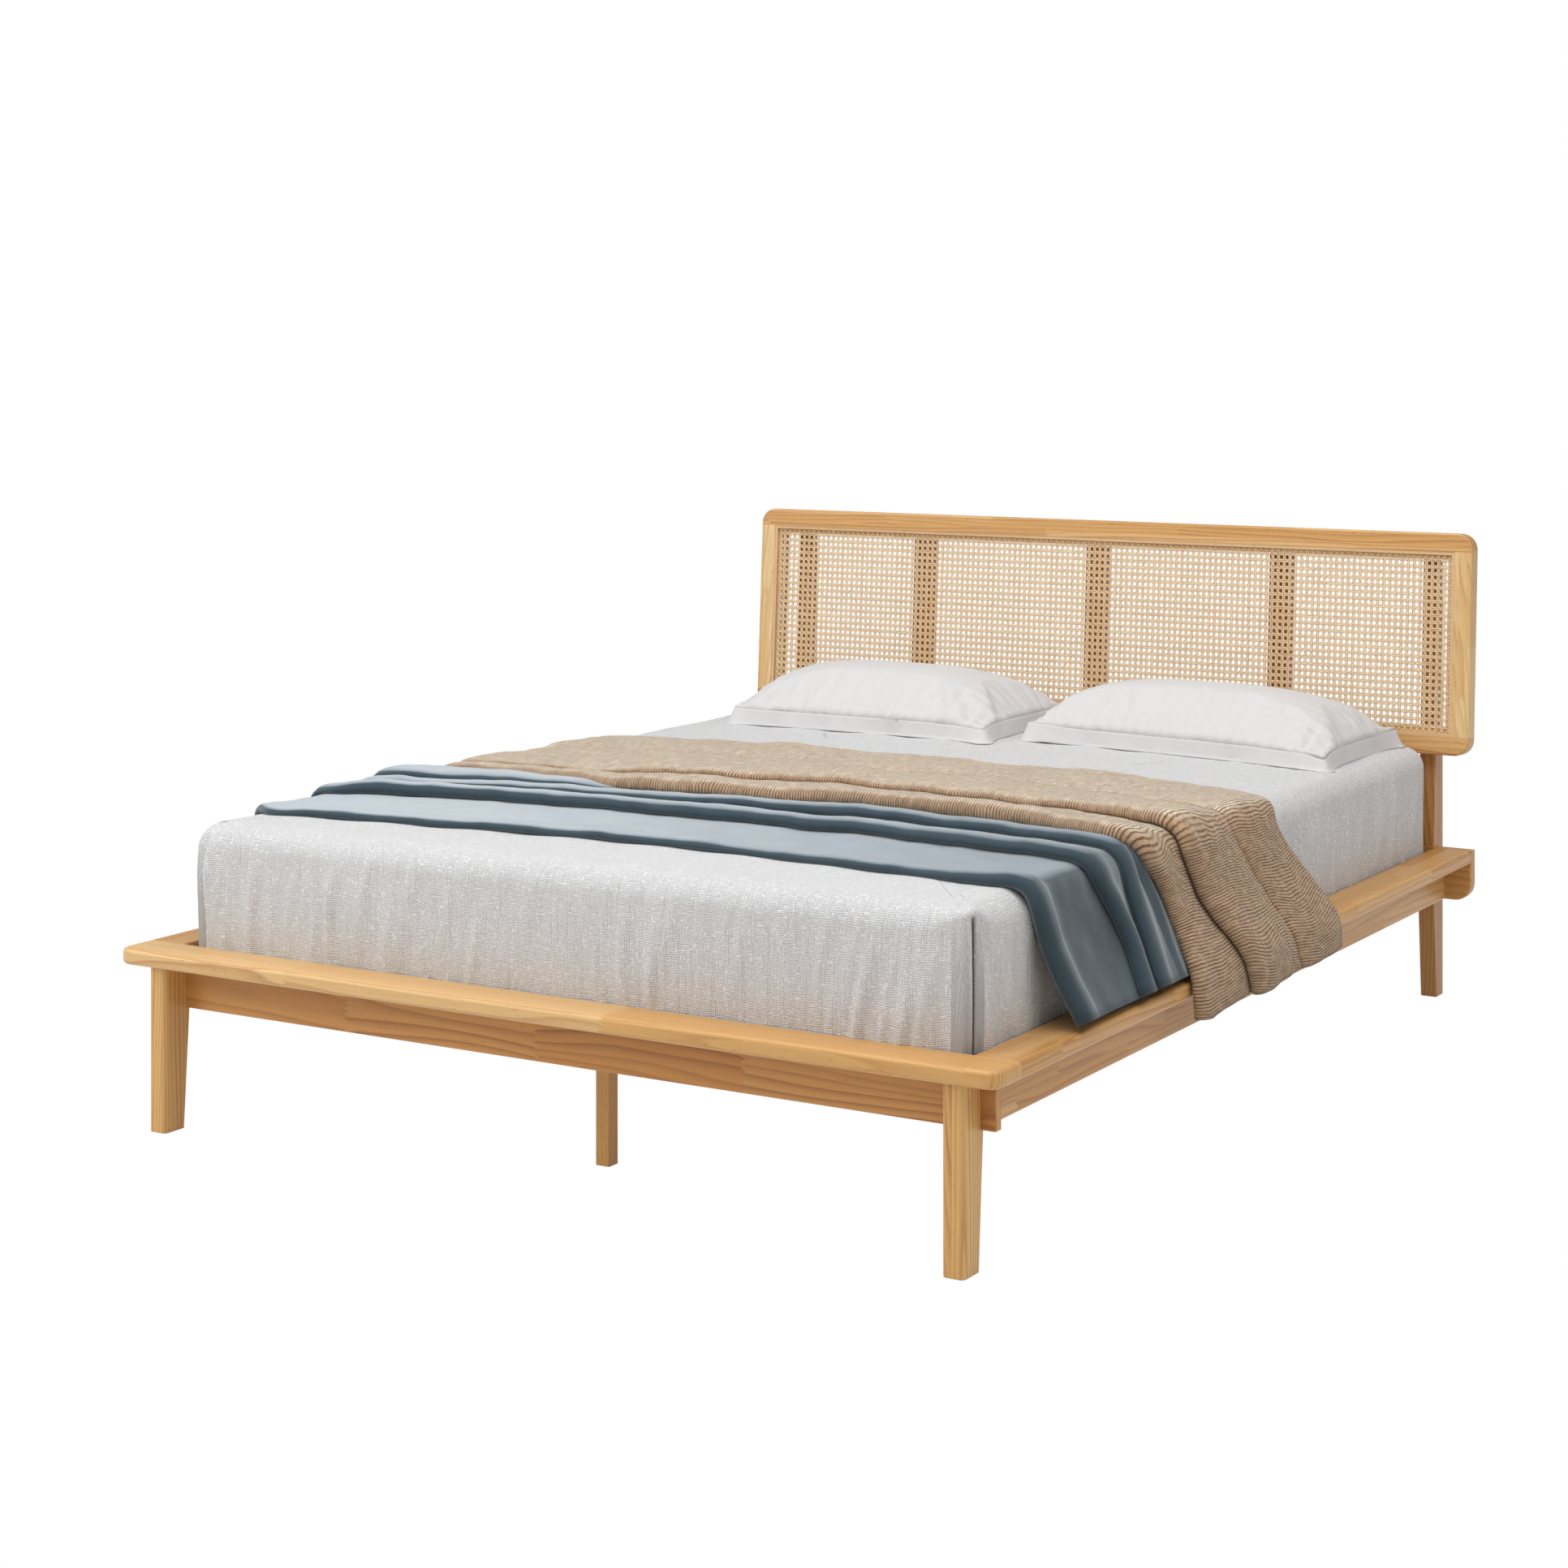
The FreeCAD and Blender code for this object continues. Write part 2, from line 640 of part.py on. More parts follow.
for name in list(pieces):
    if name.startswith("headboard_") or name == "cane_panel":
        pieces[name] = leaned(pieces[name])
        drillings[name] = [leaned(tool) for tool in drillings.get(name, [])]
bead_strips = [leaned(strip) for strip in bead_strips]
headboard_dowels = [leaned(pin) for pin in headboard_dowels]

# Bolts from behind the posts into both rails of the headboard
headboard_bolts = []
for side_name, side in SIDES.items():
    for rise, rail_name in ((headboard_bolt_inset, "headboard_bottom_rail"),
                            (headboard_height - headboard_bolt_inset, "headboard_top_rail")):
        mouth = V(side * post_middle, lean_base.y + rise * math.sin(recline),
                  lean_base.z + rise * math.cos(recline))
        seat = V(mouth.x, post_back_y - bolt_head_height - fine_edge_radius, mouth.z)
        length = seat.y - mouth.y + headboard_bolt_grip
        way = ALONG * -1
        headboard_bolts.append(bolt(seat, way, length))
        inserts.append(insert_at(mouth, way))
        drill(bolt_hole(seat, way, length), "rear_" + side_name + "_post", rail_name)
        drill(insert_hole(mouth, way).cut(rod(mouth, ALONG, cut_overrun, insert_radius * 2)), rail_name)
        drill(rod(seat, ALONG, bolt_head_height + cut_overrun, bolt_head_radius + bolt_clearance),
              "rear_" + side_name + "_post")


def soft_block(width, y0, y1, z0, z1, corner, edge):
    """A block centred on the mattress, with round upright corners and a round top edge."""
    half = width / 2
    body = block(mattress_shift - half, mattress_shift + half, y0, y1, z0, z1)
    body = rounded(body, corner, lambda p: same(p.z, (z0 + z1) / 2))
    return rounded(body, edge, lambda p: same(p.z, z1))


# Mattress, and the fitted sheet drawn over its top and sides
mattress = soft_block(mattress_width, mattress_front_y, mattress_back_y, mattress_bottom, mattress_top,
                      mattress_corner_radius, mattress_edge_radius)
pieces["mattress"] = rounded(mattress, mattress_bottom_radius, lambda p: same(p.z, mattress_bottom))


def sheet_skin(growth, bottom):
    """The mattress grown on its top and sides, down to the given level."""
    return soft_block(mattress_width + growth * 2, mattress_front_y - growth, mattress_back_y + growth,
                      bottom, mattress_top + growth, mattress_corner_radius + growth,
                      mattress_edge_radius + growth)


sheet_outside = sheet_skin(soft_gap + sheet_thickness, mattress_bottom)
pieces["fitted_sheet"] = sheet_outside.cut(sheet_skin(soft_gap, mattress_bottom - cut_overrun))


def cover_outline(place, front, rear, shares, heights, valley):
    """A cover's section: flat where it lies on the bed, with one arc over each fold."""
    cuts = [front + (rear - front) * share for share in shares]
    edges = [
        Part.LineSegment(place(rear, 0), place(front, 0)).toShape(),
        Part.LineSegment(place(front, 0), place(front, valley)).toShape(),
    ]
    for first, last, height in zip(cuts, cuts[1:], heights):
        arc = Part.Arc(place(first, valley), place((first + last) / 2, height), place(last, valley))
        edges.append(arc.toShape())
    edges.append(Part.LineSegment(place(rear, valley), place(rear, 0)).toShape())
    return Part.Wire(edges)


def cover(fronts, rears, drops, shares, heights, valley):
    """A folded cover: a slab on the mattress, a quarter turn over each edge, and hanging sides.

    fronts and rears give its two edges at five places across the bed. drops lists the
    hanging sections: inner face, level, front and rear. What hangs below the first of
    them, past the ledge's corner, is a separate solid on each side.
    """
    turn_z = mattress_top - mattress_edge_radius
    turn_radius = mattress_edge_radius + soft_gap * 2 + sheet_thickness
    turn_half = mattress_width / 2 - mattress_edge_radius
    stations = spread(len(fronts), mattress_shift - turn_half, mattress_shift + turn_half)
    sections = []
    for x, front, rear in zip(stations, fronts, rears):
        sections.append(cover_outline(lambda y, h: V(x, foot_y + y, turn_z + turn_radius + h),
                                      front, rear, shares, heights, valley))
    body = [Part.makeLoft(sections, True, True)]
    flaps = []
    for side, section in ((-1, sections[0]), (1, sections[-1])):
        axis_point = V(mattress_shift + side * turn_half, 0, turn_z)
        body.append(Part.Face(section).revolve(axis_point, ALONG, 90 * side))
        edge_x = abs(axis_point.x) + turn_radius
        hanging = [(edge_x, turn_z, fronts[0], rears[0])] + drops
        rings = []
        for inner_x, level, front, rear in hanging:
            rings.append(cover_outline(lambda y, h: V(side * (inner_x + h), foot_y + y, level),
                                       front, rear, shares, heights, valley))
        body.append(Part.makeLoft(rings[:2], True, True))
        for upper, lower in zip(rings[1:], rings[2:]):
            flaps.append(Part.makeLoft([upper, lower], True, True))
    whole = body[0].fuse(body[1:]).removeSplitter()
    return Part.makeCompound([whole] + flaps)


throw_hem_x = outer_half - throw_hem_inset - max(throw_fold_heights)
pieces["throw"] = cover(
    throw_front_places, throw_rear_places,
    [(throw_hem_x, ledge_top + soft_gap) + throw_hem_places],
    throw_fold_shares, throw_fold_heights, throw_valley)
blanket_hem_x = outer_half + blanket_ledge_gap
pieces["blanket"] = cover(
    [place + cover_parting for place in throw_rear_places], blanket_rear_places,
    [(blanket_hem_x, ledge_top) + blanket_ledge_places,
     (blanket_hem_x, blanket_hem_height) + blanket_hem_places],
    blanket_fold_shares, blanket_fold_heights, blanket_valley)


def pillow_plan(middle, half_x, half_y, corner, draw_in, level):
    """A pillow's outline at one level: round corners and sides drawn in between them."""
    round_mid = corner * math.cos(math.radians(45))
    points = []
    for sx, sy in ((1, 1), (-1, 1), (-1, -1), (1, -1)):
        start = (sx * half_x, sy * (half_y - corner))
        bend = (sx * (half_x - corner + round_mid), sy * (half_y - corner + round_mid))
        end = (sx * (half_x - corner), sy * half_y)
        points.append((start, bend, end) if sx * sy > 0 else (end, bend, start))
    sides = ((0, half_y - draw_in), (draw_in - half_x, 0), (0, draw_in - half_y), (half_x - draw_in, 0))
    edges = []
    for step, (corner_points, side_middle) in enumerate(zip(points, sides)):
        following = points[(step + 1) % len(points)][0]
        for trio in (corner_points, (corner_points[-1], side_middle, following)):
            spots = [V(middle.x + x, middle.y + y, level) for x, y in trio]
            edges.append(Part.Arc(*spots).toShape())
    return Part.Wire(edges)


# Pillows: a crowned body between the flange and the mattress
sheet_top = mattress_top + soft_gap + sheet_thickness
pillow_base = sheet_top + soft_gap
pillow_half_x = pillow_width / 2
pillow_half_y = pillow_depth / 2
pillow_y = cross_front_y - pillow_head_gap - pillow_flange - pillow_half_y
for name, side in SIDES.items():
    middle = V(side * (pillow_half_x + pillow_flange + pillow_parting / 2), pillow_y, 0)
    levels = []
    for rise, share in zip(pillow_level_shares, pillow_plan_shares):
        levels.append(pillow_plan(middle, pillow_half_x * share, pillow_half_y * share,
                                  pillow_corner_radius * share, pillow_draw_in * share,
                                  pillow_base + pillow_height * rise))
    body = Part.makeLoft(levels, True, True)
    flange_low = pillow_base + pillow_seam_height - pillow_flange_thickness / 2
    flange = pillow_plan(middle, pillow_half_x + pillow_flange, pillow_half_y + pillow_flange,
                         pillow_corner_radius, pillow_draw_in, flange_low)
    flange = Part.Face(flange).extrude(UP * pillow_flange_thickness)
    pieces[name + "_pillow"] = body.fuse(flange).removeSplitter()

groups = {
    "cane_bead": bead_strips,
    "cleat_screws": cleat_screws,
    "slat_screws": slat_screws,
    "beam_hangers": hangers,
    "beam_hanger_screws": hanger_screws,
    "centre_leg_studs": leg_studs,
    "corner_brackets": corner_brackets,
    "corner_bolts": corner_bolts,
    "threaded_inserts": inserts,
    "corner_bracket_screws": bracket_screws,
    "ledge_dowels": ledge_dowels,
    "headboard_dowels": headboard_dowels,
    "headboard_bolts": headboard_bolts,
}
for name, shape in pieces.items():
    if drillings.get(name):
        shape = shape.cut(drillings[name])
    groups[name] = shape.Solids
for name, solids in groups.items():
    body = solids[0] if len(solids) == 1 else Part.makeCompound(solids)
    body.exportStep("parts/" + name + ".step")
    print(name, len(solids), round(body.Volume), body.isValid())
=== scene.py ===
"""A platform bed in light pine with a cane headboard, dressed with a linen sheet, a velvet
throw, a crinkled blanket and two flanged pillows. Metres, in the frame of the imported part.
"""

import math

import bpy
import numpy as np
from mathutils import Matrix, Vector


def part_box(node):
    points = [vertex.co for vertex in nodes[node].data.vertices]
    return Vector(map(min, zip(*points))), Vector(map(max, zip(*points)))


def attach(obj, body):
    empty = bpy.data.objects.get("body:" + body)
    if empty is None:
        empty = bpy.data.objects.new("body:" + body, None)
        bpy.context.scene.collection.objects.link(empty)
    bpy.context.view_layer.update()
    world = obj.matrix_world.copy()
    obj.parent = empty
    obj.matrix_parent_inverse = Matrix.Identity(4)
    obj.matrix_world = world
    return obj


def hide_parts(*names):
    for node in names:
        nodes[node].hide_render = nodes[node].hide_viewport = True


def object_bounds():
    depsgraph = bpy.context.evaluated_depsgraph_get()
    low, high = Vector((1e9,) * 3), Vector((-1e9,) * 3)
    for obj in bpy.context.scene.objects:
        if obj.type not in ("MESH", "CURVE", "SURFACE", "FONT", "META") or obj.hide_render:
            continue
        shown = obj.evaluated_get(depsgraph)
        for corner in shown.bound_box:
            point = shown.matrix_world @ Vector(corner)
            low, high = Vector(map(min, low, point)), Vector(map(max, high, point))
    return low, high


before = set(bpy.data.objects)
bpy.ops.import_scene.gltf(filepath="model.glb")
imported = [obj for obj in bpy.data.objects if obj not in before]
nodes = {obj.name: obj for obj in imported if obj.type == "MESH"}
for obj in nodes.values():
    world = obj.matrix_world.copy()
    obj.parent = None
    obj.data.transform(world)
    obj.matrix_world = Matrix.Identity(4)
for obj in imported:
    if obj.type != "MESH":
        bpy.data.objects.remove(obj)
cad_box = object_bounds()

# Camera, at the eye height and bearing that the photograph's straight edges give. It is held
# level, and its lens is shifted down, so the legs and posts stay upright in the picture.
camera_data = bpy.data.cameras.new("camera")
camera_data.lens = 69.108
camera_data.sensor_width = 36.0
camera_data.shift_y = -0.2924
camera_data.clip_end = 60.0
camera = bpy.data.objects.new("camera", camera_data)
camera.location = (2.822, -4.973, 1.390)
camera.rotation_euler = (math.radians(90.0), 0.0, math.radians(31.006))
bpy.context.scene.collection.objects.link(camera)
bpy.context.scene.camera = camera


# Studio: a wide floor of pale painted board, and soft lamps with fabric fronts. The floor shows
# plain white to the camera and in reflections, and sends all other light back as matt board does.
def linear(code):
    """An sRGB hex colour as linear RGBA: each channel by the sRGB transfer curve."""
    channels = [int(code[i:i + 2], 16) / 255 for i in (0, 2, 4)]
    return tuple(c / 12.92 if c <= 0.04045 else ((c + 0.055) / 1.055) ** 2.4
                 for c in channels) + (1.0,)


def add(tree, kind, links=(), **settings):
    """A node of that kind, with its settings and its inputs: a link or a plain value each."""
    node = tree.nodes.new(kind)
    for name, value in settings.items():
        setattr(node, name, value)
    for socket, value in dict(links).items():
        if isinstance(value, bpy.types.NodeSocket):
            tree.links.new(value, node.inputs[socket])
        else:
            node.inputs[socket].default_value = value
    return node


def new_material(name):
    """An empty node material and its tree."""
    material = bpy.data.materials.new(name)
    material.use_nodes = True
    material.node_tree.nodes.clear()
    return material, material.node_tree


def grid_mesh(name, points, uv=None, closed=False):
    """A mesh over a grid of points (rows, columns, 3), a quad to a cell; closed wraps the columns."""
    rows, columns = points.shape[:2]
    r, c = np.meshgrid(np.arange(rows - 1), np.arange(columns if closed else columns - 1), indexing="ij")
    c_next = (c + 1) % columns
    quads = np.stack([r * columns + c, r * columns + c_next,
                      (r + 1) * columns + c_next, (r + 1) * columns + c], -1).reshape(-1, 4)
    return quad_mesh(name, points.reshape(-1, 3), quads, None if uv is None else uv.reshape(-1, 2))


def quad_mesh(name, points, quads, uv=None):
    """A smooth mesh from points and quads, with the points' own UV, in metres of cloth or strand."""
    mesh = bpy.data.meshes.new(name)
    mesh.vertices.add(len(points))
    mesh.vertices.foreach_set("co", points.reshape(-1).astype(np.float32))
    mesh.loops.add(quads.size)
    mesh.loops.foreach_set("vertex_index", quads.reshape(-1).astype(np.int32))
    mesh.polygons.add(len(quads))
    mesh.polygons.foreach_set("loop_start", np.arange(0, quads.size, 4, dtype=np.int32))
    mesh.update(calc_edges=True)
    if uv is not None:
        layer = mesh.uv_layers.new(name="cut")
        layer.data.foreach_set("uv", uv[quads.reshape(-1)].reshape(-1).astype(np.float32))
    mesh.polygons.foreach_set("use_smooth", np.ones(len(quads), dtype=bool))
    return mesh


def place(mesh, material, body=None):
    """An object at the origin that shows the mesh, in that material, riding on that body."""
    thing = bpy.data.objects.new(mesh.name, mesh)
    bpy.context.scene.collection.objects.link(thing)
    mesh.materials.append(material)
    if body:
        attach(thing, body)
    return thing


floor_half = 14.0
floor_drop = 0.0005
floor_points = np.array([[[-1, -1, 0], [1, -1, 0]], [[-1, 1, 0], [1, 1, 0]]], float) * floor_half
floor_points[..., 2] = cad_box[0].z - floor_drop
board, tree = new_material("painted_board")
matt = add(tree, "ShaderNodeBsdfDiffuse", {"Color": linear("dfdedc")})
white = add(tree, "ShaderNodeEmission", {"Color": (1, 1, 1, 1), "Strength": 1.0})
path = add(tree, "ShaderNodeLightPath")
seen = add(tree, "ShaderNodeMath", {0: path.outputs["Is Camera Ray"], 1: path.outputs["Is Glossy Ray"]},
           operation="MAXIMUM")
mixed = add(tree, "ShaderNodeMixShader", {0: seen.outputs[0], 1: matt.outputs[0], 2: white.outputs[0]})
add(tree, "ShaderNodeOutputMaterial", {"Surface": mixed.outputs[0]})
floor = place(grid_mesh("floor", floor_points), board)

world = bpy.data.worlds.new("studio")
world.use_nodes = True
bpy.context.scene.world = world
world.node_tree.nodes.clear()
sky = add(world.node_tree, "ShaderNodeBackground", {"Color": linear("ffffff"), "Strength": 0.40})
backdrop = add(world.node_tree, "ShaderNodeBackground", {"Color": (1, 1, 1, 1), "Strength": 1.0})
path = add(world.node_tree, "ShaderNodeLightPath")
seen = add(world.node_tree, "ShaderNodeMath",
           {0: path.outputs["Is Camera Ray"], 1: path.outputs["Is Transmission Ray"]}, operation="MAXIMUM")
mixed = add(world.node_tree, "ShaderNodeMixShader",
            {0: seen.outputs[0], 1: sky.outputs[0], 2: backdrop.outputs[0]})
add(world.node_tree, "ShaderNodeOutputWorld", {"Surface": mixed.outputs[0]})


def lamp(name, location, target, width, height, watts, colour):
    """A soft box: a rectangular area light that faces its target."""
    data = bpy.data.lights.new(name, "AREA")
    data.shape = "RECTANGLE"
    data.size, data.size_y, data.energy = width, height, watts
    data.color = linear(colour)[:3]
    thing = bpy.data.objects.new(name, data)
    way = np.array(target) - np.array(location)
    thing.location = location
    thing.rotation_euler = (math.acos(-way[2] / np.linalg.norm(way)), 0.0,
                            math.atan2(way[1], way[0]) - math.pi / 2)
    bpy.context.scene.collection.objects.link(thing)


lamp("overhead", (0.1, -1.4, 4.4), (0.0, -0.4, 0.3), 4.2, 4.2, 153.0, "ffffff")
lamp("left_front", (-3.6, -4.0, 2.8), (0.0, 0.0, 0.4), 2.2, 2.0, 86.0, "ffffff")
lamp("right", (4.2, -0.5, 3.5), (0.4, 0.0, 0.4), 3.0, 2.2, 41.0, "fffaf3")
bpy.context.scene.view_settings.view_transform = "Standard"


# Pine: finger-jointed solid pine under clear satin lacquer. Each stave has its own tone and its
# own pith, so growth lines run straight on some staves and in broad waves on others.
whole = 9.0    # a strip or stave as long as this runs past the end of every piece, so none ends in it


def pine(name, grain, seed, light, dark, line, strips=(whole, whole), stave=0.62, line_share=0.95):
    """Pine with its grain along an axis. Growth rings are circles about each stave's far pith,
    bent by slow noise; staves change at zigzag finger joints along the grain and at glue lines
    across it, at the two strip widths; short dark resin ducts lie along the grain. light and dark
    are the early wood of the palest and the darkest stave, and line is the late wood.
    """
    ring_spacing, tooth_pitch, tooth_depth = 0.0065, 0.009, 0.010
    pith_spread, ring_stretch = (3.0, 0.36, 0.42), (0.018, 1.0, 1.0)
    bends_per_metre, bend_reach = (1.1, 9.0, 9.0), (0.0, 0.055, 0.055)
    fibres_per_metre, ducts_per_metre = (11.0, 620.0, 620.0), (75.0, 640.0, 640.0)
    strip_factor, stave_factor = 17.0, 7.31    # they keep one stave's number from being another's
    material, tree = new_material(name)
    here = add(tree, "ShaderNodeTexCoord").outputs["Object"]
    turn = {"X": (0, 0, 0), "Y": (0, 0, -math.pi / 2), "Z": (0, math.pi / 2, 0)}[grain]
    shift = tuple(seed * step for step in (0.37, 0.011, 0.013))
    # Staves: the strips each way, the toothed places along them, and one random colour for each.
    along = add(tree, "ShaderNodeMapping", {"Vector": here, "Rotation": turn, "Location": shift}).outputs[0]
    xyz = add(tree, "ShaderNodeSeparateXYZ", {0: along})
    strip_y = add(tree, "ShaderNodeMath", {0: xyz.outputs[1], 1: strips[0]}, operation="DIVIDE")
    strip_y = add(tree, "ShaderNodeMath", {0: strip_y.outputs[0]}, operation="FLOOR")
    strip_z = add(tree, "ShaderNodeMath", {0: xyz.outputs[2], 1: strips[1]}, operation="DIVIDE")
    strip_z = add(tree, "ShaderNodeMath", {0: strip_z.outputs[0]}, operation="FLOOR")
    strip = add(tree, "ShaderNodeMath", {0: strip_z.outputs[0], 1: strip_factor, 2: strip_y.outputs[0]},
                operation="MULTIPLY_ADD")
    start = add(tree, "ShaderNodeTexWhiteNoise", {"W": strip.outputs[0]}, noise_dimensions="1D")
    teeth = add(tree, "ShaderNodeMath", {0: xyz.outputs[2], 1: xyz.outputs[1]}, operation="ADD")
    teeth = add(tree, "ShaderNodeMath", {0: teeth.outputs[0], 1: tooth_pitch / 2}, operation="PINGPONG")
    toothed = add(tree, "ShaderNodeMath", {0: teeth.outputs[0], 1: 2 * tooth_depth / tooth_pitch,
                                           2: xyz.outputs[0]}, operation="MULTIPLY_ADD")
    counted = add(tree, "ShaderNodeMath", {0: toothed.outputs[0], 1: 1 / stave, 2: start.outputs["Value"]},
                  operation="MULTIPLY_ADD")
    number = add(tree, "ShaderNodeMath", {0: counted.outputs[0]}, operation="FLOOR")
    key = add(tree, "ShaderNodeMath", {0: strip.outputs[0], 1: stave_factor, 2: number.outputs[0]},
              operation="MULTIPLY_ADD")
    own = add(tree, "ShaderNodeTexWhiteNoise", {"W": key.outputs[0]}, noise_dimensions="1D")
    tone = own.outputs["Value"]
    # Growth rings: the distance from the stave's pith, counted in ring spacings. Late wood darkens
    # slowly through each ring and ends sharply.
    pith = add(tree, "ShaderNodeVectorMath", {0: own.outputs["Color"], 1: (0.5, 0.5, 0.5)},
               operation="SUBTRACT")
    pith = add(tree, "ShaderNodeVectorMath", {0: pith.outputs[0], 1: pith_spread, 2: along},
               operation="MULTIPLY_ADD")
    slow = add(tree, "ShaderNodeVectorMath", {0: pith.outputs[0], 1: bends_per_metre}, operation="MULTIPLY")
    bend = add(tree, "ShaderNodeTexNoise", {"Vector": slow.outputs[0], "Scale": 1.0, "Detail": 2.0,
                                            "Roughness": 0.4})
    bent = add(tree, "ShaderNodeVectorMath", {0: bend.outputs["Color"], 1: bend_reach, 2: pith.outputs[0]},
               operation="MULTIPLY_ADD")
    flat = add(tree, "ShaderNodeVectorMath", {0: bent.outputs[0], 1: ring_stretch}, operation="MULTIPLY")
    radius = add(tree, "ShaderNodeVectorMath", {0: flat.outputs[0]}, operation="LENGTH")
    rings = add(tree, "ShaderNodeMath", {0: radius.outputs["Value"], 1: 1 / ring_spacing},
                operation="MULTIPLY")
    phase = add(tree, "ShaderNodeMath", {0: rings.outputs[0]}, operation="FRACT")
    late = add(tree, "ShaderNodeMath", {0: phase.outputs[0], 1: 2.4}, operation="POWER")
    fall = add(tree, "ShaderNodeMapRange", {"Value": phase.outputs[0], "From Min": 0.90, "From Max": 1.0,
                                            "To Min": 1.0, "To Max": 0.0})
    late = add(tree, "ShaderNodeMath", {0: late.outputs[0], 1: fall.outputs[0]}, operation="MULTIPLY")
    ring_number = add(tree, "ShaderNodeMath", {0: rings.outputs[0]}, operation="FLOOR")
    ring_tone = add(tree, "ShaderNodeTexWhiteNoise", {"W": ring_number.outputs[0]}, noise_dimensions="1D")
    ring_tone = add(tree, "ShaderNodeMapRange", {"Value": ring_tone.outputs["Value"], "To Min": 0.45})
    late = add(tree, "ShaderNodeMath", {0: late.outputs[0], 1: ring_tone.outputs[0]}, operation="MULTIPLY")
    # Fibres and resin ducts: fine noise, drawn out along the grain.
    fibre_at = add(tree, "ShaderNodeVectorMath", {0: along, 1: fibres_per_metre}, operation="MULTIPLY")
    fibre = add(tree, "ShaderNodeTexNoise", {"Vector": fibre_at.outputs[0], "Scale": 1.0, "Detail": 3.0})
    duct_at = add(tree, "ShaderNodeVectorMath", {0: along, 1: ducts_per_metre}, operation="MULTIPLY")
    duct = add(tree, "ShaderNodeTexNoise", {"Vector": duct_at.outputs[0], "Scale": 1.0, "Detail": 0.0})
    duct = add(tree, "ShaderNodeMapRange", {"Value": duct.outputs["Fac"], "From Min": 0.79, "From Max": 0.83,
                                            "To Max": 0.55})
    # Colour and lacquer.
    resin = "8e5a2c"
    ground = add(tree, "ShaderNodeMix", {0: tone, 6: linear(light), 7: linear(dark)}, data_type="RGBA")
    amount = add(tree, "ShaderNodeMath", {0: late.outputs[0], 1: line_share}, operation="MULTIPLY")
    lined = add(tree, "ShaderNodeMix", {0: amount.outputs[0], 6: ground.outputs[2], 7: linear(line)},
                data_type="RGBA")
    specked = add(tree, "ShaderNodeMix", {0: duct.outputs[0], 6: lined.outputs[2], 7: linear(resin)},
                  data_type="RGBA")
    fine = add(tree, "ShaderNodeMapRange", {"Value": fibre.outputs["Fac"], "From Min": 0.3, "From Max": 0.7,
                                            "To Min": 0.93, "To Max": 1.06})
    shade = add(tree, "ShaderNodeVectorMath", {0: specked.outputs[2], "Scale": fine.outputs[0]},
                operation="SCALE")
    relief = add(tree, "ShaderNodeMath", {0: fibre.outputs["Fac"], 1: late.outputs[0]}, operation="ADD")
    bump = add(tree, "ShaderNodeBump", {"Height": relief.outputs[0], "Strength": 0.10, "Distance": 0.0004})
    gloss = add(tree, "ShaderNodeMapRange", {"Value": fibre.outputs["Fac"], "To Min": 0.42, "To Max": 0.56})
    surface = add(tree, "ShaderNodeBsdfPrincipled",
                  {"Base Color": shade.outputs[0], "Roughness": gloss.outputs[0], "Normal": bump.outputs[0],
                   "IOR": 1.5, "Specular IOR Level": 0.40, "Coat Weight": 0.25, "Coat Roughness": 0.28})
    add(tree, "ShaderNodeOutputMaterial", {"Surface": surface.outputs[0]})
    return material


def finish_node(name, material):
    """Gives a carried-over node that material in place of its own."""
    nodes[name].data.materials.clear()
    nodes[name].data.materials.append(material)


# Frame boards, rails, legs and posts: planed pine, edges eased by a router, bolted and dowelled.
# Wide boards are glued from narrow strips, and legs from two thick ones. The stiles' lines are
# faint, legs, posts and foot apron are deeper in tone, and the uprights behind the cane are a darker,
# more orange brown: painted shade for the shadow they stand in behind the cane.
pale, even = ("e3bc82", "d3a05c", "a8662c"), ("dcb074", "c8934f", "995625")
# The uprights' brown palette is painted shade, for the shadow they stand in behind the cane.
deep, painted_shade_brown = ("e2b36e", "c78b47", "8a4a1c"), ("c48445", "ae6f33", "82491e")
dark, calm = ("cf9a5a", "b57a3e", "7e461e"), ("e4c591", "d6ad70", "bd8850")
# Each piece: the axis of its grain, its two strip widths, its staves' length and its palette.
frame_pieces = {
    "foot_board": ("X", (whole, whole), 0.64, pale),
    "head_cross_rail": ("X", (whole, whole), 0.58, even),
    "foot_apron": ("X", (whole, whole), 0.39, deep),
    "headboard_top_rail": ("X", (whole, 0.019), 0.72, even),
    "headboard_bottom_rail": ("X", (whole, 0.019), 0.66, even),
    "left_side_board": ("Y", (0.026, whole), 0.42, even),
    "right_side_board": ("Y", (0.026, whole), 0.42, even),
    "left_side_rail": ("Y", (whole, 0.027), 0.40, even),
    "right_side_rail": ("Y", (whole, 0.027), 0.40, even),
    "front_left_leg": ("Z", (whole, 0.019), whole, deep),
    "front_right_leg": ("Z", (whole, 0.019), whole, deep),
    "rear_left_post": ("Z", (0.028, whole), whole, dark),
    "rear_right_post": ("Z", (0.028, whole), whole, dark),
    "headboard_left_stile": ("Z", (whole, 0.018), 0.5, calm),
    "headboard_right_stile": ("Z", (whole, 0.018), 0.5, calm),
    # The uprights behind the cane: painted shade in their brown palette.
    "headboard_upright_left": ("Z", (whole, whole), whole, painted_shade_brown),
    "headboard_upright_middle": ("Z", (whole, whole), whole, painted_shade_brown),
    "headboard_upright_right": ("Z", (whole, whole), whole, painted_shade_brown),
}
for seed, (name, (grain, strips, stave, palette)) in enumerate(frame_pieces.items(), start=1):
    finish_node(name, pine("pine_" + name, grain, seed, *palette, strips=strips, stave=stave))


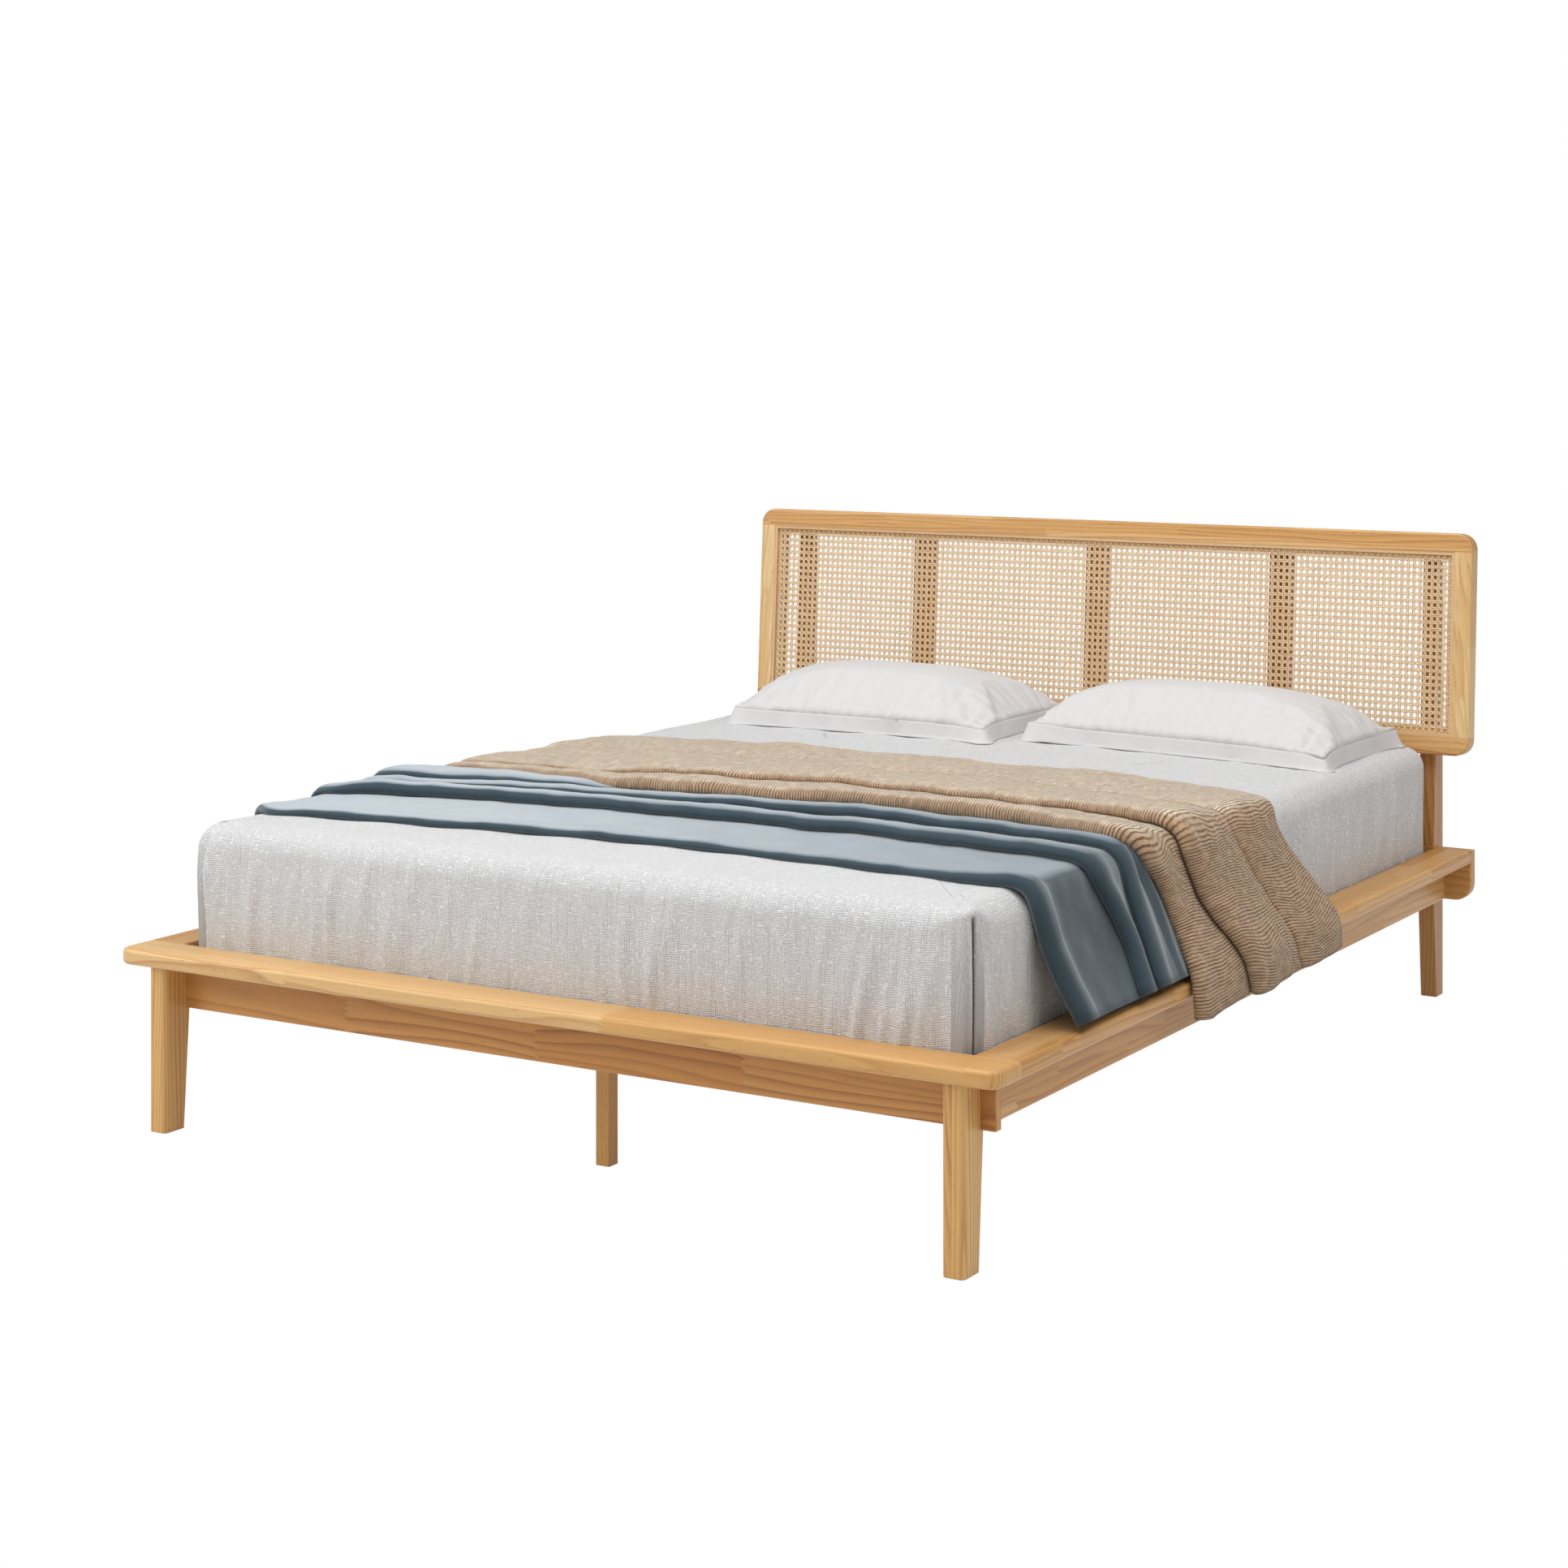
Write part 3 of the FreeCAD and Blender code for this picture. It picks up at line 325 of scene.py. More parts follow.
# Slats, cleats and beam: planed pine, paler than the frame, screwed down. Centre legs: square
# pine posts with a honey stain, on studs. Bead: a thin pale moulding that holds the cane in its
# rebate. Dowels: beech pegs, glued in, with faint growth lines.
slat_pine = pine("planed_pine_slats", "X", 31, "ead0a2", "dbb67f", "bd8a50", (0.09, whole), 3.0)
beam_pine = pine("planed_pine_runs", "Y", 37, "e6c995", "d8b179", "bd8a50", stave=1.4)
leg_pine = pine("stained_pine_centre_legs", "Z", 41, "eeb86e", "e3a95f", "c2843c", line_share=0.35)
bead_pine = pine("pale_pine_bead", "X", 43, "dcb98c", "cfa678", "b98c60", line_share=0.4)
beech = pine("beech_dowels", "X", 47, "dcb78c", "d0a87a", "b98c60", line_share=0.3)
for name in nodes.keys():
    if name.startswith("slat_") and name != "slat_screws":
        finish_node(name, slat_pine)
    elif name in ("left_slat_cleat", "right_slat_cleat", "centre_beam"):
        finish_node(name, beam_pine)
    elif name.startswith("centre_leg_") and name != "centre_leg_studs":
        finish_node(name, leg_pine)
    elif name.endswith("_dowels"):
        finish_node(name, beech)
finish_node("cane_bead", bead_pine)


# Brackets, hangers, bolts, screws, studs and inserts: mild steel, pressed or turned, then bright
# zinc plated. The plating is a soft grey mirror with a faint crystal mottle and dull rub marks.
zinc, tree = new_material("zinc_plated_steel")
here = add(tree, "ShaderNodeTexCoord").outputs["Object"]
spangle_size, rubs_per_metre = 0.003, 90.0
spangle = add(tree, "ShaderNodeTexVoronoi", {"Vector": here, "Scale": 1 / spangle_size})
wear = add(tree, "ShaderNodeTexNoise", {"Vector": here, "Scale": rubs_per_metre, "Detail": 3.0})
tint = add(tree, "ShaderNodeMix", {0: spangle.outputs["Distance"], 6: linear("d3d5d6"), 7: linear("b4b8bb")},
           data_type="RGBA")
gloss = add(tree, "ShaderNodeMapRange", {"Value": wear.outputs["Fac"], "To Min": 0.26, "To Max": 0.46})
surface = add(tree, "ShaderNodeBsdfPrincipled", {"Base Color": tint.outputs[2], "Metallic": 1.0,
                                                 "Roughness": gloss.outputs[0]})
add(tree, "ShaderNodeOutputMaterial", {"Surface": surface.outputs[0]})
for name in ("cleat_screws", "slat_screws", "beam_hangers", "beam_hanger_screws", "centre_leg_studs",
             "corner_brackets", "corner_bolts", "threaded_inserts", "corner_bracket_screws",
             "headboard_bolts"):
    finish_node(name, zinc)


# Cane panel: rattan skin woven six ways and held in the headboard's rebate by the bead. Pairs of
# strands run up and across, and two slanting sets cross midway between them, which leaves the
# eight-sided holes. The strands are glossy, straw to light brown.
lean, lean_base = math.radians(-3.4), np.array([0.0, 1.05545, 0.50566])
cane_plane, weave_middle = -0.03075, 0.2275    # its depth and its middle's height before it leans
mesh_across, mesh_up = 0.0130, 0.01425         # one cell of the weave
half_cells = (62.75, 13.25)                    # cells from the middle to the side and to the top
pair_half = 0.0018                             # half the distance between the strands of a pair
strand_half, strand_rise, weave_rise = 0.00115, 0.0007, 0.0007


def strand_mesh(name, centre, side):
    """Strands in cell units, (strand, step, 3: across, up, rise in metres), as three-sided ribbons.

    Each step carries a section: left edge, right edge and a crown between them towards the front.
    side holds each strand's sideways direction, as a unit pair in metres.
    """
    count, steps = centre.shape[:2]
    local = np.stack([centre[..., 0] * mesh_across, cane_plane - centre[..., 2],
                      weave_middle + centre[..., 1] * mesh_up], -1)
    across = np.zeros((count, 1, 3))
    across[..., 0] = side[:, None, 0]
    across[..., 2] = side[:, None, 1]
    front = np.array([0.0, -1.0, 0.0])
    rings = np.stack([local - across * strand_half, local + front * strand_rise,
                      local + across * strand_half], 2)
    turned = rings.copy()
    turned[..., 1] = rings[..., 1] * math.cos(lean) - rings[..., 2] * math.sin(lean)
    turned[..., 2] = rings[..., 1] * math.sin(lean) + rings[..., 2] * math.cos(lean)
    points = (turned + lean_base).reshape(-1, 3)
    s, t, k = np.meshgrid(np.arange(count), np.arange(steps - 1), np.arange(3), indexing="ij")
    first = (s * steps + t) * 3
    quads = np.stack([first + k, first + 3 + k, first + 3 + (k + 1) % 3, first + (k + 1) % 3],
                     -1).reshape(-1, 4)
    length = np.linalg.norm(np.diff(local, axis=1), axis=2).cumsum(1)
    run = np.concatenate([np.zeros((count, 1)), length], 1)
    uv = np.stack([run, np.broadcast_to(np.arange(count)[:, None] + 0.5, run.shape)], -1)
    return quad_mesh(name, points, quads, np.repeat(uv[:, :, None], 3, 2).reshape(-1, 2))


def half_cell_steps(half_run):
    """Places half a cell apart, from one end of a run to the other."""
    half_cell, past_end = 0.5, 0.01
    return np.arange(-half_run, half_run + past_end, half_cell)


def pair_lines(half_run):
    """The lines that pairs of strands lie on: every whole cell from the middle."""
    last = math.floor(half_run)
    return np.arange(-last, last + 1.0)


def straight_strands(lines, half_run, upright):
    """A pair on each line, each strand crossing over one of the pair it meets and under the other."""
    step_at = half_cell_steps(half_run)
    offset = pair_half / (mesh_across if upright else mesh_up)
    place_at = np.concatenate([lines - offset, lines + offset])
    over = np.concatenate([np.ones(len(lines)), -np.ones(len(lines))])
    rise = weave_rise * over[:, None] * np.sin(2 * np.pi * step_at)[None, :]
    run, side = np.broadcast_to(step_at, rise.shape), np.broadcast_to(place_at[:, None], rise.shape)
    parts = (side, run, rise) if upright else (run, side, -rise)
    return np.stack(parts, -1)


def slanting_strands(way):
    """Slanting strands through the middles of the pairs, over the uprights or over the cross pairs."""
    lines = np.arange(-half_cells[0] - half_cells[1] + 0.5, half_cells[0] + half_cells[1])
    lines = np.floor(lines)[:, None] + 0.5
    across = np.clip(way * (half_cell_steps(half_cells[1]) + lines), -half_cells[0], half_cells[0])
    up = way * across - lines
    rise = way * weave_rise * np.cos(2 * np.pi * across)
    return np.stack([across, up, rise], -1)


uprights = straight_strands(pair_lines(half_cells[0]), half_cells[1], True)
crossings = straight_strands(pair_lines(half_cells[1]), half_cells[0], False)
slants = np.concatenate([slanting_strands(1.0), slanting_strands(-1.0)])
slope = np.array([mesh_up, mesh_across]) / math.hypot(mesh_up, mesh_across)
slant_sides = np.repeat([[slope[0], -slope[1]], [slope[0], slope[1]]], len(slants) // 2, 0)

cane, tree = new_material("rattan_cane")
cut = add(tree, "ShaderNodeUVMap", uv_map="cut")
run_and_strand = add(tree, "ShaderNodeSeparateXYZ", {0: cut.outputs[0]})
strand_number = add(tree, "ShaderNodeMath", {0: run_and_strand.outputs[1]}, operation="FLOOR")
strand_tone = add(tree, "ShaderNodeTexWhiteNoise", {"W": strand_number.outputs[0]}, noise_dimensions="1D")
blotch_pitch = (28.0, 1.7, 1.0)    # blotches to a metre of strand, and to each strand's number
blotch_at = add(tree, "ShaderNodeVectorMath", {0: cut.outputs[0], 1: blotch_pitch}, operation="MULTIPLY")
blotch = add(tree, "ShaderNodeTexNoise", {"Vector": blotch_at.outputs[0], "Scale": 1.0, "Detail": 2.0})
tone = add(tree, "ShaderNodeMath", {0: strand_tone.outputs["Value"], 1: blotch.outputs["Fac"]},
           operation="MULTIPLY")
tint = add(tree, "ShaderNodeMix", {0: tone.outputs[0], 6: linear("f6dcb4"), 7: linear("d0a06a")},
           data_type="RGBA")
gloss = add(tree, "ShaderNodeMapRange", {"Value": blotch.outputs["Fac"], "To Min": 0.32, "To Max": 0.48})
surface = add(tree, "ShaderNodeBsdfPrincipled", {"Base Color": tint.outputs[2], "IOR": 1.5,
                                                 "Roughness": gloss.outputs[0]})
add(tree, "ShaderNodeOutputMaterial", {"Surface": surface.outputs[0]})
for name, strands, sides in (("cane_uprights", uprights, np.tile([1.0, 0.0], (len(uprights), 1))),
                             ("cane_crossings", crossings, np.tile([0.0, -1.0], (len(crossings), 1))),
                             ("cane_slants", slants, slant_sides)):
    strand_piece = place(strand_mesh(name, strands, sides), cane, "bed_frame")
    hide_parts("cane_panel")


# Mattress: a foam block sewn into quilted cotton ticking, with fine grey stripes and matt puffs.
# The fitted sheet covers it, and only its underside shows, between the slats.
def round_plan(half_x, half_y, corner, counts):
    """Points round a rectangle with round corners, and the outward directions there.

    counts gives the steps along the front and rear, along each side, and round each corner.
    The walk starts on the left of the front edge and goes anticlockwise seen from above.
    """
    points, outward = [], []
    inner_x, inner_y = half_x - corner, half_y - corner
    for quarter in range(4):
        angle = math.pi / 2 * (quarter - 1)
        straight, reach = (inner_x, inner_y) if quarter % 2 == 0 else (inner_y, inner_x)
        steps = counts[quarter % 2]
        t = np.linspace(-straight, straight, steps, endpoint=False)
        normal = np.array([math.cos(angle), math.sin(angle)])
        tangent = np.array([-normal[1], normal[0]])
        points.append(t[:, None] * tangent + normal * (reach + corner))
        outward.append(np.broadcast_to(normal, points[-1].shape))
        turn = angle + np.linspace(0, math.pi / 2, counts[2], endpoint=False)
        round_normal = np.stack([np.cos(turn), np.sin(turn)], -1)
        centre = normal * reach + tangent * straight
        points.append(centre + corner * round_normal)
        outward.append(round_normal)
    return np.concatenate(points), np.concatenate(outward)


def block_skin(box_low, box_high, corner, edge, foot_edge, counts, rows, under):
    """A block's skin from the middle of its top, over a round edge, down and under its bottom.

    Each column is one place round the plan, with its own edge radius; rows gives the steps on the
    top, each round edge and the side. Returns the points, outward directions, UV, each point's
    depth below the top, and its share of the side's outward swell.
    """
    past_round = 0.57    # how far a quarter round's length is past its radius, as a share of it
    middle, half = (box_low + box_high) / 2, (box_high - box_low) / 2
    plan, outward = round_plan(half[0], half[1], corner, counts)
    edge = np.broadcast_to(edge, len(plan))[:, None]
    inner, foot_inner = plan - outward * edge, plan - outward * foot_edge
    top, turn, side = rows
    tall = 2 * half[2] - edge - foot_edge
    levels = [(inner * share, 0 * edge, inner * share, 0.0)
              for share in np.linspace(0.0, 1.0, top, endpoint=False) ** 0.6]
    levels += [(inner + outward * edge * math.sin(t), edge * (1 - math.cos(t)),
                plan + outward * edge * (t - 1), math.sin(t))
               for t in np.linspace(0, math.pi / 2, turn, endpoint=False)]
    levels += [(plan, edge + share * tall, plan + outward * (edge * past_round + share * tall), 1.0)
               for share in np.linspace(0, 1, side, endpoint=False)]
    levels += [(foot_inner + outward * foot_edge * math.cos(t), edge + tall + foot_edge * math.sin(t),
                plan + outward * (edge * past_round + tall + foot_edge * t), math.cos(t))
               for t in np.linspace(0, math.pi / 2, turn)]
    levels += [(foot_inner * share, edge + tall + foot_edge,
                plan + outward * (edge + tall + foot_edge + 1 - share), 0.0)
               for share in np.linspace(1, 1 - under, 4)[1:]]
    points = np.stack([np.column_stack([flat + middle[:2], box_high[2] - drop])
                       for flat, drop, _, _ in levels])
    uv = np.stack([cut_at for _, _, cut_at, _ in levels])
    depth = np.stack([drop[:, 0] for _, drop, _, _ in levels])
    return points, outward, uv, depth, np.array([level[3] for level in levels])[:, None]


low, high = (np.array(corner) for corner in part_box("mattress"))
inside_sheet = np.array([0.0040, 0.0040, 0.0008])
pad_corner, pad_edge, whole_underside = 0.075, 0.039, 1.0
pad_counts, pad_rows = (120, 160, 16), (8, 8, 24)
points, _, uv, _, _ = block_skin(low + inside_sheet, high - inside_sheet, pad_corner, pad_edge, pad_edge,
                                 pad_counts, pad_rows, whole_underside)
ticking, tree = new_material("cotton_ticking")
here = add(tree, "ShaderNodeTexCoord").outputs["Object"]
wave_length = 0.314    # of a wave texture at scale 1
quilt_pitch, stripe_pitch, yarns_per_metre = 0.075, 0.006, 900.0
quilt = add(tree, "ShaderNodeTexVoronoi", {"Vector": here, "Scale": 1 / quilt_pitch, "Randomness": 0.0},
            feature="SMOOTH_F1")
stripe = add(tree, "ShaderNodeTexWave",
             {"Vector": here, "Scale": wave_length / stripe_pitch, "Distortion": 0.4}, bands_direction="X")
yarn = add(tree, "ShaderNodeTexNoise", {"Vector": here, "Scale": yarns_per_metre, "Detail": 2.0})
tint = add(tree, "ShaderNodeMix", {0: stripe.outputs["Fac"], 6: linear("efece6"), 7: linear("dcd8d0")},
           data_type="RGBA")
relief = add(tree, "ShaderNodeMath", {0: quilt.outputs["Distance"], 1: -3.0, 2: yarn.outputs["Fac"]},
             operation="MULTIPLY_ADD")
bump = add(tree, "ShaderNodeBump", {"Height": relief.outputs[0], "Strength": 0.4, "Distance": 0.003})
surface = add(tree, "ShaderNodeBsdfPrincipled", {"Base Color": tint.outputs[2], "Roughness": 0.85,
                                                 "Normal": bump.outputs[0], "Sheen Weight": 0.2})
add(tree, "ShaderNodeOutputMaterial", {"Surface": surface.outputs[0]})
mattress = place(grid_mesh("mattress_pad", points, uv, closed=True), ticking, "mattress_body")
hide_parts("mattress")


# Fitted sheet: slubby linen over the mattress, its elastic hem tucked under, with folded corners
# and soft upright creases where the skirt is gathered. The slubs are thick pale threads both ways,
# and the cloth is matt. At the right front corner it is pulled to a point, so its edge is tight.
def bell(offset, width):
    """A bell curve: 1 at the middle, falling off as exp(-(offset / width) squared)."""
    return np.exp(-(offset / width) ** 2)


def creases(seed, count, span, widths, lift):
    """Soft ridges across a strip: random places, slants, widths and heights, from one seed.

    Each also draws the depth it is highest at and how far it reaches up and down from there.
    """
    slants, lift_shares, levels, reaches = (-0.25, 0.25), (-0.35, 1.0), (0.02, 0.22), (0.05, 0.12)
    draw = np.random.default_rng(seed)
    return np.column_stack([draw.uniform(0, span, count), draw.uniform(*slants, count),
                            draw.uniform(*widths, count), draw.uniform(*lift_shares, count) * lift,
                            draw.uniform(*levels, count), draw.uniform(*reaches, count)])


def crease_height(ridges, run, depth):
    """The sum of the ridges' bell curves across the run, each fading above and below its own depth."""
    total = np.zeros(np.broadcast(run, depth).shape)
    for where, slant, width, rise, level, reach in ridges:
        across = bell(run - where - slant * (depth - level), width)
        total += rise * across * bell(depth - level, reach)
    return total


low, high = (np.array(corner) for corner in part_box("fitted_sheet"))
sheet_corner, sheet_edge, sheet_foot_edge = 0.034, 0.042, 0.030
sheet_counts, sheet_rows, tucked_share = (310, 220, 60), (12, 10, 34), 0.16
right_fold_step, left_fold_step = 33, 27    # round each front corner, from the front edge
half = (high - low) / 2
plan, _ = round_plan(half[0], half[1], sheet_corner, sheet_counts)
run = np.concatenate([[0], np.linalg.norm(np.diff(plan, axis=0), axis=1).cumsum()])
right_fold, left_fold = run[sheet_counts[0] + right_fold_step], run[-left_fold_step]
pulled, pulled_edge = bell(run - right_fold, 0.040), 0.011
edge = sheet_edge - (sheet_edge - pulled_edge) * pulled
points, outward, uv, depth, on_side = block_skin(low, high, sheet_corner, edge, sheet_foot_edge,
                                                 sheet_counts, sheet_rows, tucked_share)
run = run[None, :]
broad_ridges = creases(5, 130, run[0, -1], (0.012, 0.028), 0.0080)
fine_ridges = creases(7, 520, run[0, -1], (0.007, 0.013), 0.0058)
swell = sum(crease_height(group, run, depth) for group in (broad_ridges, fine_ridges)) * (1 - pulled)
skirt_height, ripple_rise, belly_rise, deepest_dent = 0.24, 0.0012, 0.0020, -0.0055
down = np.clip(depth / skirt_height, 0, 1)
near_hem = np.clip((down - 0.75) / 0.25, 0, 1)
hem_ripple = ripple_rise * np.sin(run * 61 + 3 * np.sin(run * 13)) * near_hem
belly = belly_rise * np.sin(np.pi * down)
# Each front corner's skirt is folded flat along the front: a lip, a narrow slit behind it that the
# cloth turns into, a hollow before the lip and a slanting valley behind the slit.
slit_depth, hollow_depth, valley_depth, tuck, turned_in_share = 0.034, 0.0030, 0.0060, 0.0012, 0.42
slits = folded_over = dents = 0
for fold_at, way, slit_top, lip_rise in ((right_fold, 1.0, 0.012, 0.005), (left_fold, -1.0, 0.040, 0.004)):
    along = (run - fold_at) * way
    lip = lip_rise * bell(along + 0.009, 0.010)
    hollow = -hollow_depth * bell(along + 0.040, 0.020) * np.clip(depth / 0.05, 0, 1)
    below = np.clip((depth - slit_top) / 0.014, 0, 1)
    slit_width = 0.0046 - 0.016 * np.clip(depth, 0, 0.2)
    slit = slit_depth * bell(along - 0.0030, slit_width) * below
    valley_at, valley_width = 0.014 + 0.42 * depth, 0.009 + 0.035 * depth
    valley = -valley_depth * bell(along - valley_at, valley_width) * np.clip((depth - 0.006) / 0.03, 0, 1)
    slits, dents = slits + slit, dents + lip + hollow + valley
    folded_over = folded_over + way * (turned_in_share * slit + tuck * bell(along + 0.0005, 0.0022) * below)
drape = np.maximum(swell * np.clip(down * 3, 0.15, 1) + hem_ripple + belly + dents, deepest_dent)
drape = (drape - slits) * on_side
on_top = (1 - on_side) * (depth < 0.05)
top_wave = np.sin(points[..., 0] * 37 + 2 * np.sin(points[..., 1] * 11))
lift = ripple_rise * top_wave * on_top
sideways = np.stack([-outward[:, 1], outward[:, 0]], -1)
shift = outward * drape[..., None] + sideways * (folded_over * on_side)[..., None]
points = points + np.concatenate([shift, lift[..., None]], -1)

# The weave is two crossed waves, wobbled; slubs run both ways, and puckers run down the skirt.
linen, tree = new_material("slub_linen")
cut = add(tree, "ShaderNodeUVMap", uv_map="cut").outputs[0]
thread_pitch = 0.0036    # drawn about five threads coarse, so that the weave shows
wobble = add(tree, "ShaderNodeTexNoise", {"Vector": cut, "Scale": 160.0, "Detail": 1.0})
woven_at = add(tree, "ShaderNodeVectorMath", {0: wobble.outputs["Color"], 1: (0.0022, 0.0022, 0.0), 2: cut},
               operation="MULTIPLY_ADD")
warp = add(tree, "ShaderNodeTexWave",
           {"Vector": woven_at.outputs[0], "Scale": wave_length / thread_pitch}, bands_direction="X")
weft = add(tree, "ShaderNodeTexWave",
           {"Vector": woven_at.outputs[0], "Scale": wave_length / thread_pitch}, bands_direction="Y")
weave = add(tree, "ShaderNodeMath", {0: warp.outputs["Fac"], 1: weft.outputs["Fac"]}, operation="MULTIPLY")
short, long = 240.0, 85.0    # slubs to a metre, across the thread and along it
slub_up = add(tree, "ShaderNodeVectorMath", {0: cut, 1: (short, long, 1.0)}, operation="MULTIPLY")
slub_up = add(tree, "ShaderNodeTexNoise", {"Vector": slub_up.outputs[0], "Scale": 1.0, "Detail": 1.0})
slub_across = add(tree, "ShaderNodeVectorMath", {0: cut, 1: (long, short, 1.0)}, operation="MULTIPLY")
slub_across = add(tree, "ShaderNodeTexNoise", {"Vector": slub_across.outputs[0], "Scale": 1.0, "Detail": 1.0})
slub = add(tree, "ShaderNodeMath", {0: slub_up.outputs["Fac"], 1: slub_across.outputs["Fac"]},
           operation="MAXIMUM")
slub = add(tree, "ShaderNodeMapRange", {"Value": slub.outputs[0], "From Min": 0.56, "From Max": 0.76})
tint = add(tree, "ShaderNodeMix", {0: slub.outputs[0], 6: linear("e4e4e5"), 7: linear("fcfcfd")},
           data_type="RGBA")
gaps = add(tree, "ShaderNodeMapRange", {"Value": weave.outputs[0], "From Max": 0.5, "To Min": 0.90,
                                        "To Max": 1.0})
shade = add(tree, "ShaderNodeVectorMath", {0: tint.outputs[2], "Scale": gaps.outputs[0]}, operation="SCALE")
relief = add(tree, "ShaderNodeMath", {0: slub.outputs[0], 1: 0.7, 2: weave.outputs[0]},
             operation="MULTIPLY_ADD")
narrow, tall = 85.0, 8.0     # puckers to a metre, across the skirt and down it
pucker_down = add(tree, "ShaderNodeVectorMath", {0: cut, 1: (narrow, tall, 1.0)}, operation="MULTIPLY")
pucker_down = add(tree, "ShaderNodeTexNoise",
                  {"Vector": pucker_down.outputs[0], "Scale": 1.0, "Detail": 2.0})
pucker_along = add(tree, "ShaderNodeVectorMath", {0: cut, 1: (tall, narrow, 1.0)}, operation="MULTIPLY")
pucker_along = add(tree, "ShaderNodeTexNoise",
                   {"Vector": pucker_along.outputs[0], "Scale": 1.0, "Detail": 2.0})
facing = add(tree, "ShaderNodeNewGeometry")
facing = add(tree, "ShaderNodeSeparateXYZ", {0: facing.outputs["Normal"]})
sideways_face = add(tree, "ShaderNodeMath", {0: facing.outputs[0]}, operation="ABSOLUTE")
pucker = add(tree, "ShaderNodeMix", {0: sideways_face.outputs[0], 2: pucker_down.outputs["Fac"],
                                     3: pucker_along.outputs["Fac"]})
relief = add(tree, "ShaderNodeMath", {0: pucker.outputs[0], 1: 4.0, 2: relief.outputs[0]},
             operation="MULTIPLY_ADD")
bump = add(tree, "ShaderNodeBump", {"Height": relief.outputs[0], "Strength": 1.0, "Distance": 0.0016})
surface = add(tree, "ShaderNodeBsdfPrincipled", {"Base Color": shade.outputs[0], "Roughness": 0.88,
                                                 "Normal": bump.outputs[0], "Sheen Weight": 0.15,
                                                 "Specular IOR Level": 0.25})
add(tree, "ShaderNodeOutputMaterial", {"Surface": surface.outputs[0]})
sheet = place(grid_mesh("linen_fitted_sheet", points, uv, closed=True), linen, "mattress_body")


def cloth_area(thing):
    """The area of a one-layer cloth mesh, the sum of its faces."""
    areas = np.empty(len(thing.data.polygons))
    thing.data.polygons.foreach_get("area", areas)
    return float(areas.sum())


cloth_area(sheet)
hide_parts("fitted_sheet")


# Throw and blanket: each is one cloth folded lengthways into a band across the bed, its ends
# hanging down both sides. A cover's shape is a net of control places: stations across the bed, by
# arc length from the middle, and at each a folded section, along the bed and up from the sheet.
def spline_weights(controls, samples):
    """Clamped cubic B-spline weights, a row for each sample, by Cox and de Boor's recursion."""
    degree = 3
    knots = np.concatenate([np.zeros(degree), np.linspace(0, 1, controls - degree + 1), np.ones(degree)])
    t = np.minimum(samples, 1 - 1e-9)[:, None]
    weights = ((t >= knots[:-1]) & (t < knots[1:])).astype(float)
    for d in range(1, degree + 1):
        rise, fall = knots[d:-1] - knots[:-d - 1], knots[d + 1:] - knots[1:-d]
        left = np.divide(t - knots[:-d - 1], rise, out=np.zeros((len(t), len(rise))), where=rise > 0)
        right = np.divide(knots[d + 1:] - t, fall, out=np.zeros((len(t), len(fall))), where=fall > 0)
        weights = left * weights[:, :-1] + right * weights[:, 1:]
    return weights


top_z, sheet_right = high[2], high[0]
bed_middle = (low[0] + high[0]) / 2
foot_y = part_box("foot_board")[0][1]
ledge_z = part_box("foot_board")[1][2]


def hang_path(tail):
    """The line across the bed that a cover lies on: (arc length, x, z, outward x, outward z).

    It is a B-spline over the top, the sheet's round edges and the tails' points, given for the
    right side and mirrored to the left, where the sheet stands a little nearer the ledge's edge.
    """
    off_sheet, samples = 0.003, 1200
    right = [(0.3, top_z), (0.55, top_z), (0.68, top_z), (0.728, top_z + 0.001),
             (sheet_right - 0.006, top_z - 0.001), (sheet_right + off_sheet, top_z - 0.030)] + tail
    left = [(2 * bed_middle - x if x <= sheet_right + off_sheet else -x, z) for x, z in right]
    controls = np.array(left[::-1] + [(bed_middle, top_z)] + right)
    line = spline_weights(len(controls), np.linspace(0, 1, samples)) @ controls
    step = np.gradient(line, axis=0)
    step /= np.linalg.norm(step, axis=1)[:, None]
    arc = np.concatenate([[0], np.linalg.norm(np.diff(line, axis=0), axis=1).cumsum()])
    on_top = slice(samples // 3, 2 * samples // 3)
    arc -= np.interp(bed_middle, line[on_top, 0], arc[on_top])
    return arc, line[:, 0], line[:, 1], -step[:, 1], step[:, 0]


def fold_section(noses, rear, crests, valleys, foot, flat_after, hollows, last):
    """A section's control places (along the bed, height), for folds that lean to the front.

    noses and crests give each fold's front and top, valleys the height at its foot, and foot the
    height at the first one's. The cloth runs under each nose and doubles back over it. flat_after
    lays the first fold's back down flat; hollows are how far the later noses overhang, and last is
    the height of the rear edge's round. All are in metres.
    """
    nose, crest = noses[0], crests[0]
    places = [(nose + 0.030, foot), (nose + 0.012, foot), (nose - 0.001, foot + 0.001),
              (nose - 0.004, foot + 0.60 * (crest - foot)), (nose + 0.005, crest + 0.002),
              (nose + 0.022, crest + 0.001), (nose + 0.040, crest - 0.2 * (crest - valleys[0]))]
    if flat_after:
        places += [(nose + 0.058, valleys[0]), ((nose + noses[1]) / 2, valleys[0])]
    ends = list(noses[1:]) + [rear]
    for nose, after, crest, valley, out in zip(noses[1:], ends[1:], crests[1:], valleys, hollows):
        lift = crest - valley
        places += [(nose - 0.014, valley), (nose + 0.018, valley - 0.001),
                   (nose + 0.012, valley + 0.20 * lift), (nose - 0.008 - out, valley + 0.32 * lift),
                   (nose - 0.002 - out, crest - 0.001), (nose + 0.020 - out / 2, crest + 0.003),
                   (nose + 0.45 * (after - nose), crest - 0.25 * lift)]
    return places + [(rear - 0.022, last), (rear - 0.004, last * 0.7), (rear, 0.001)]


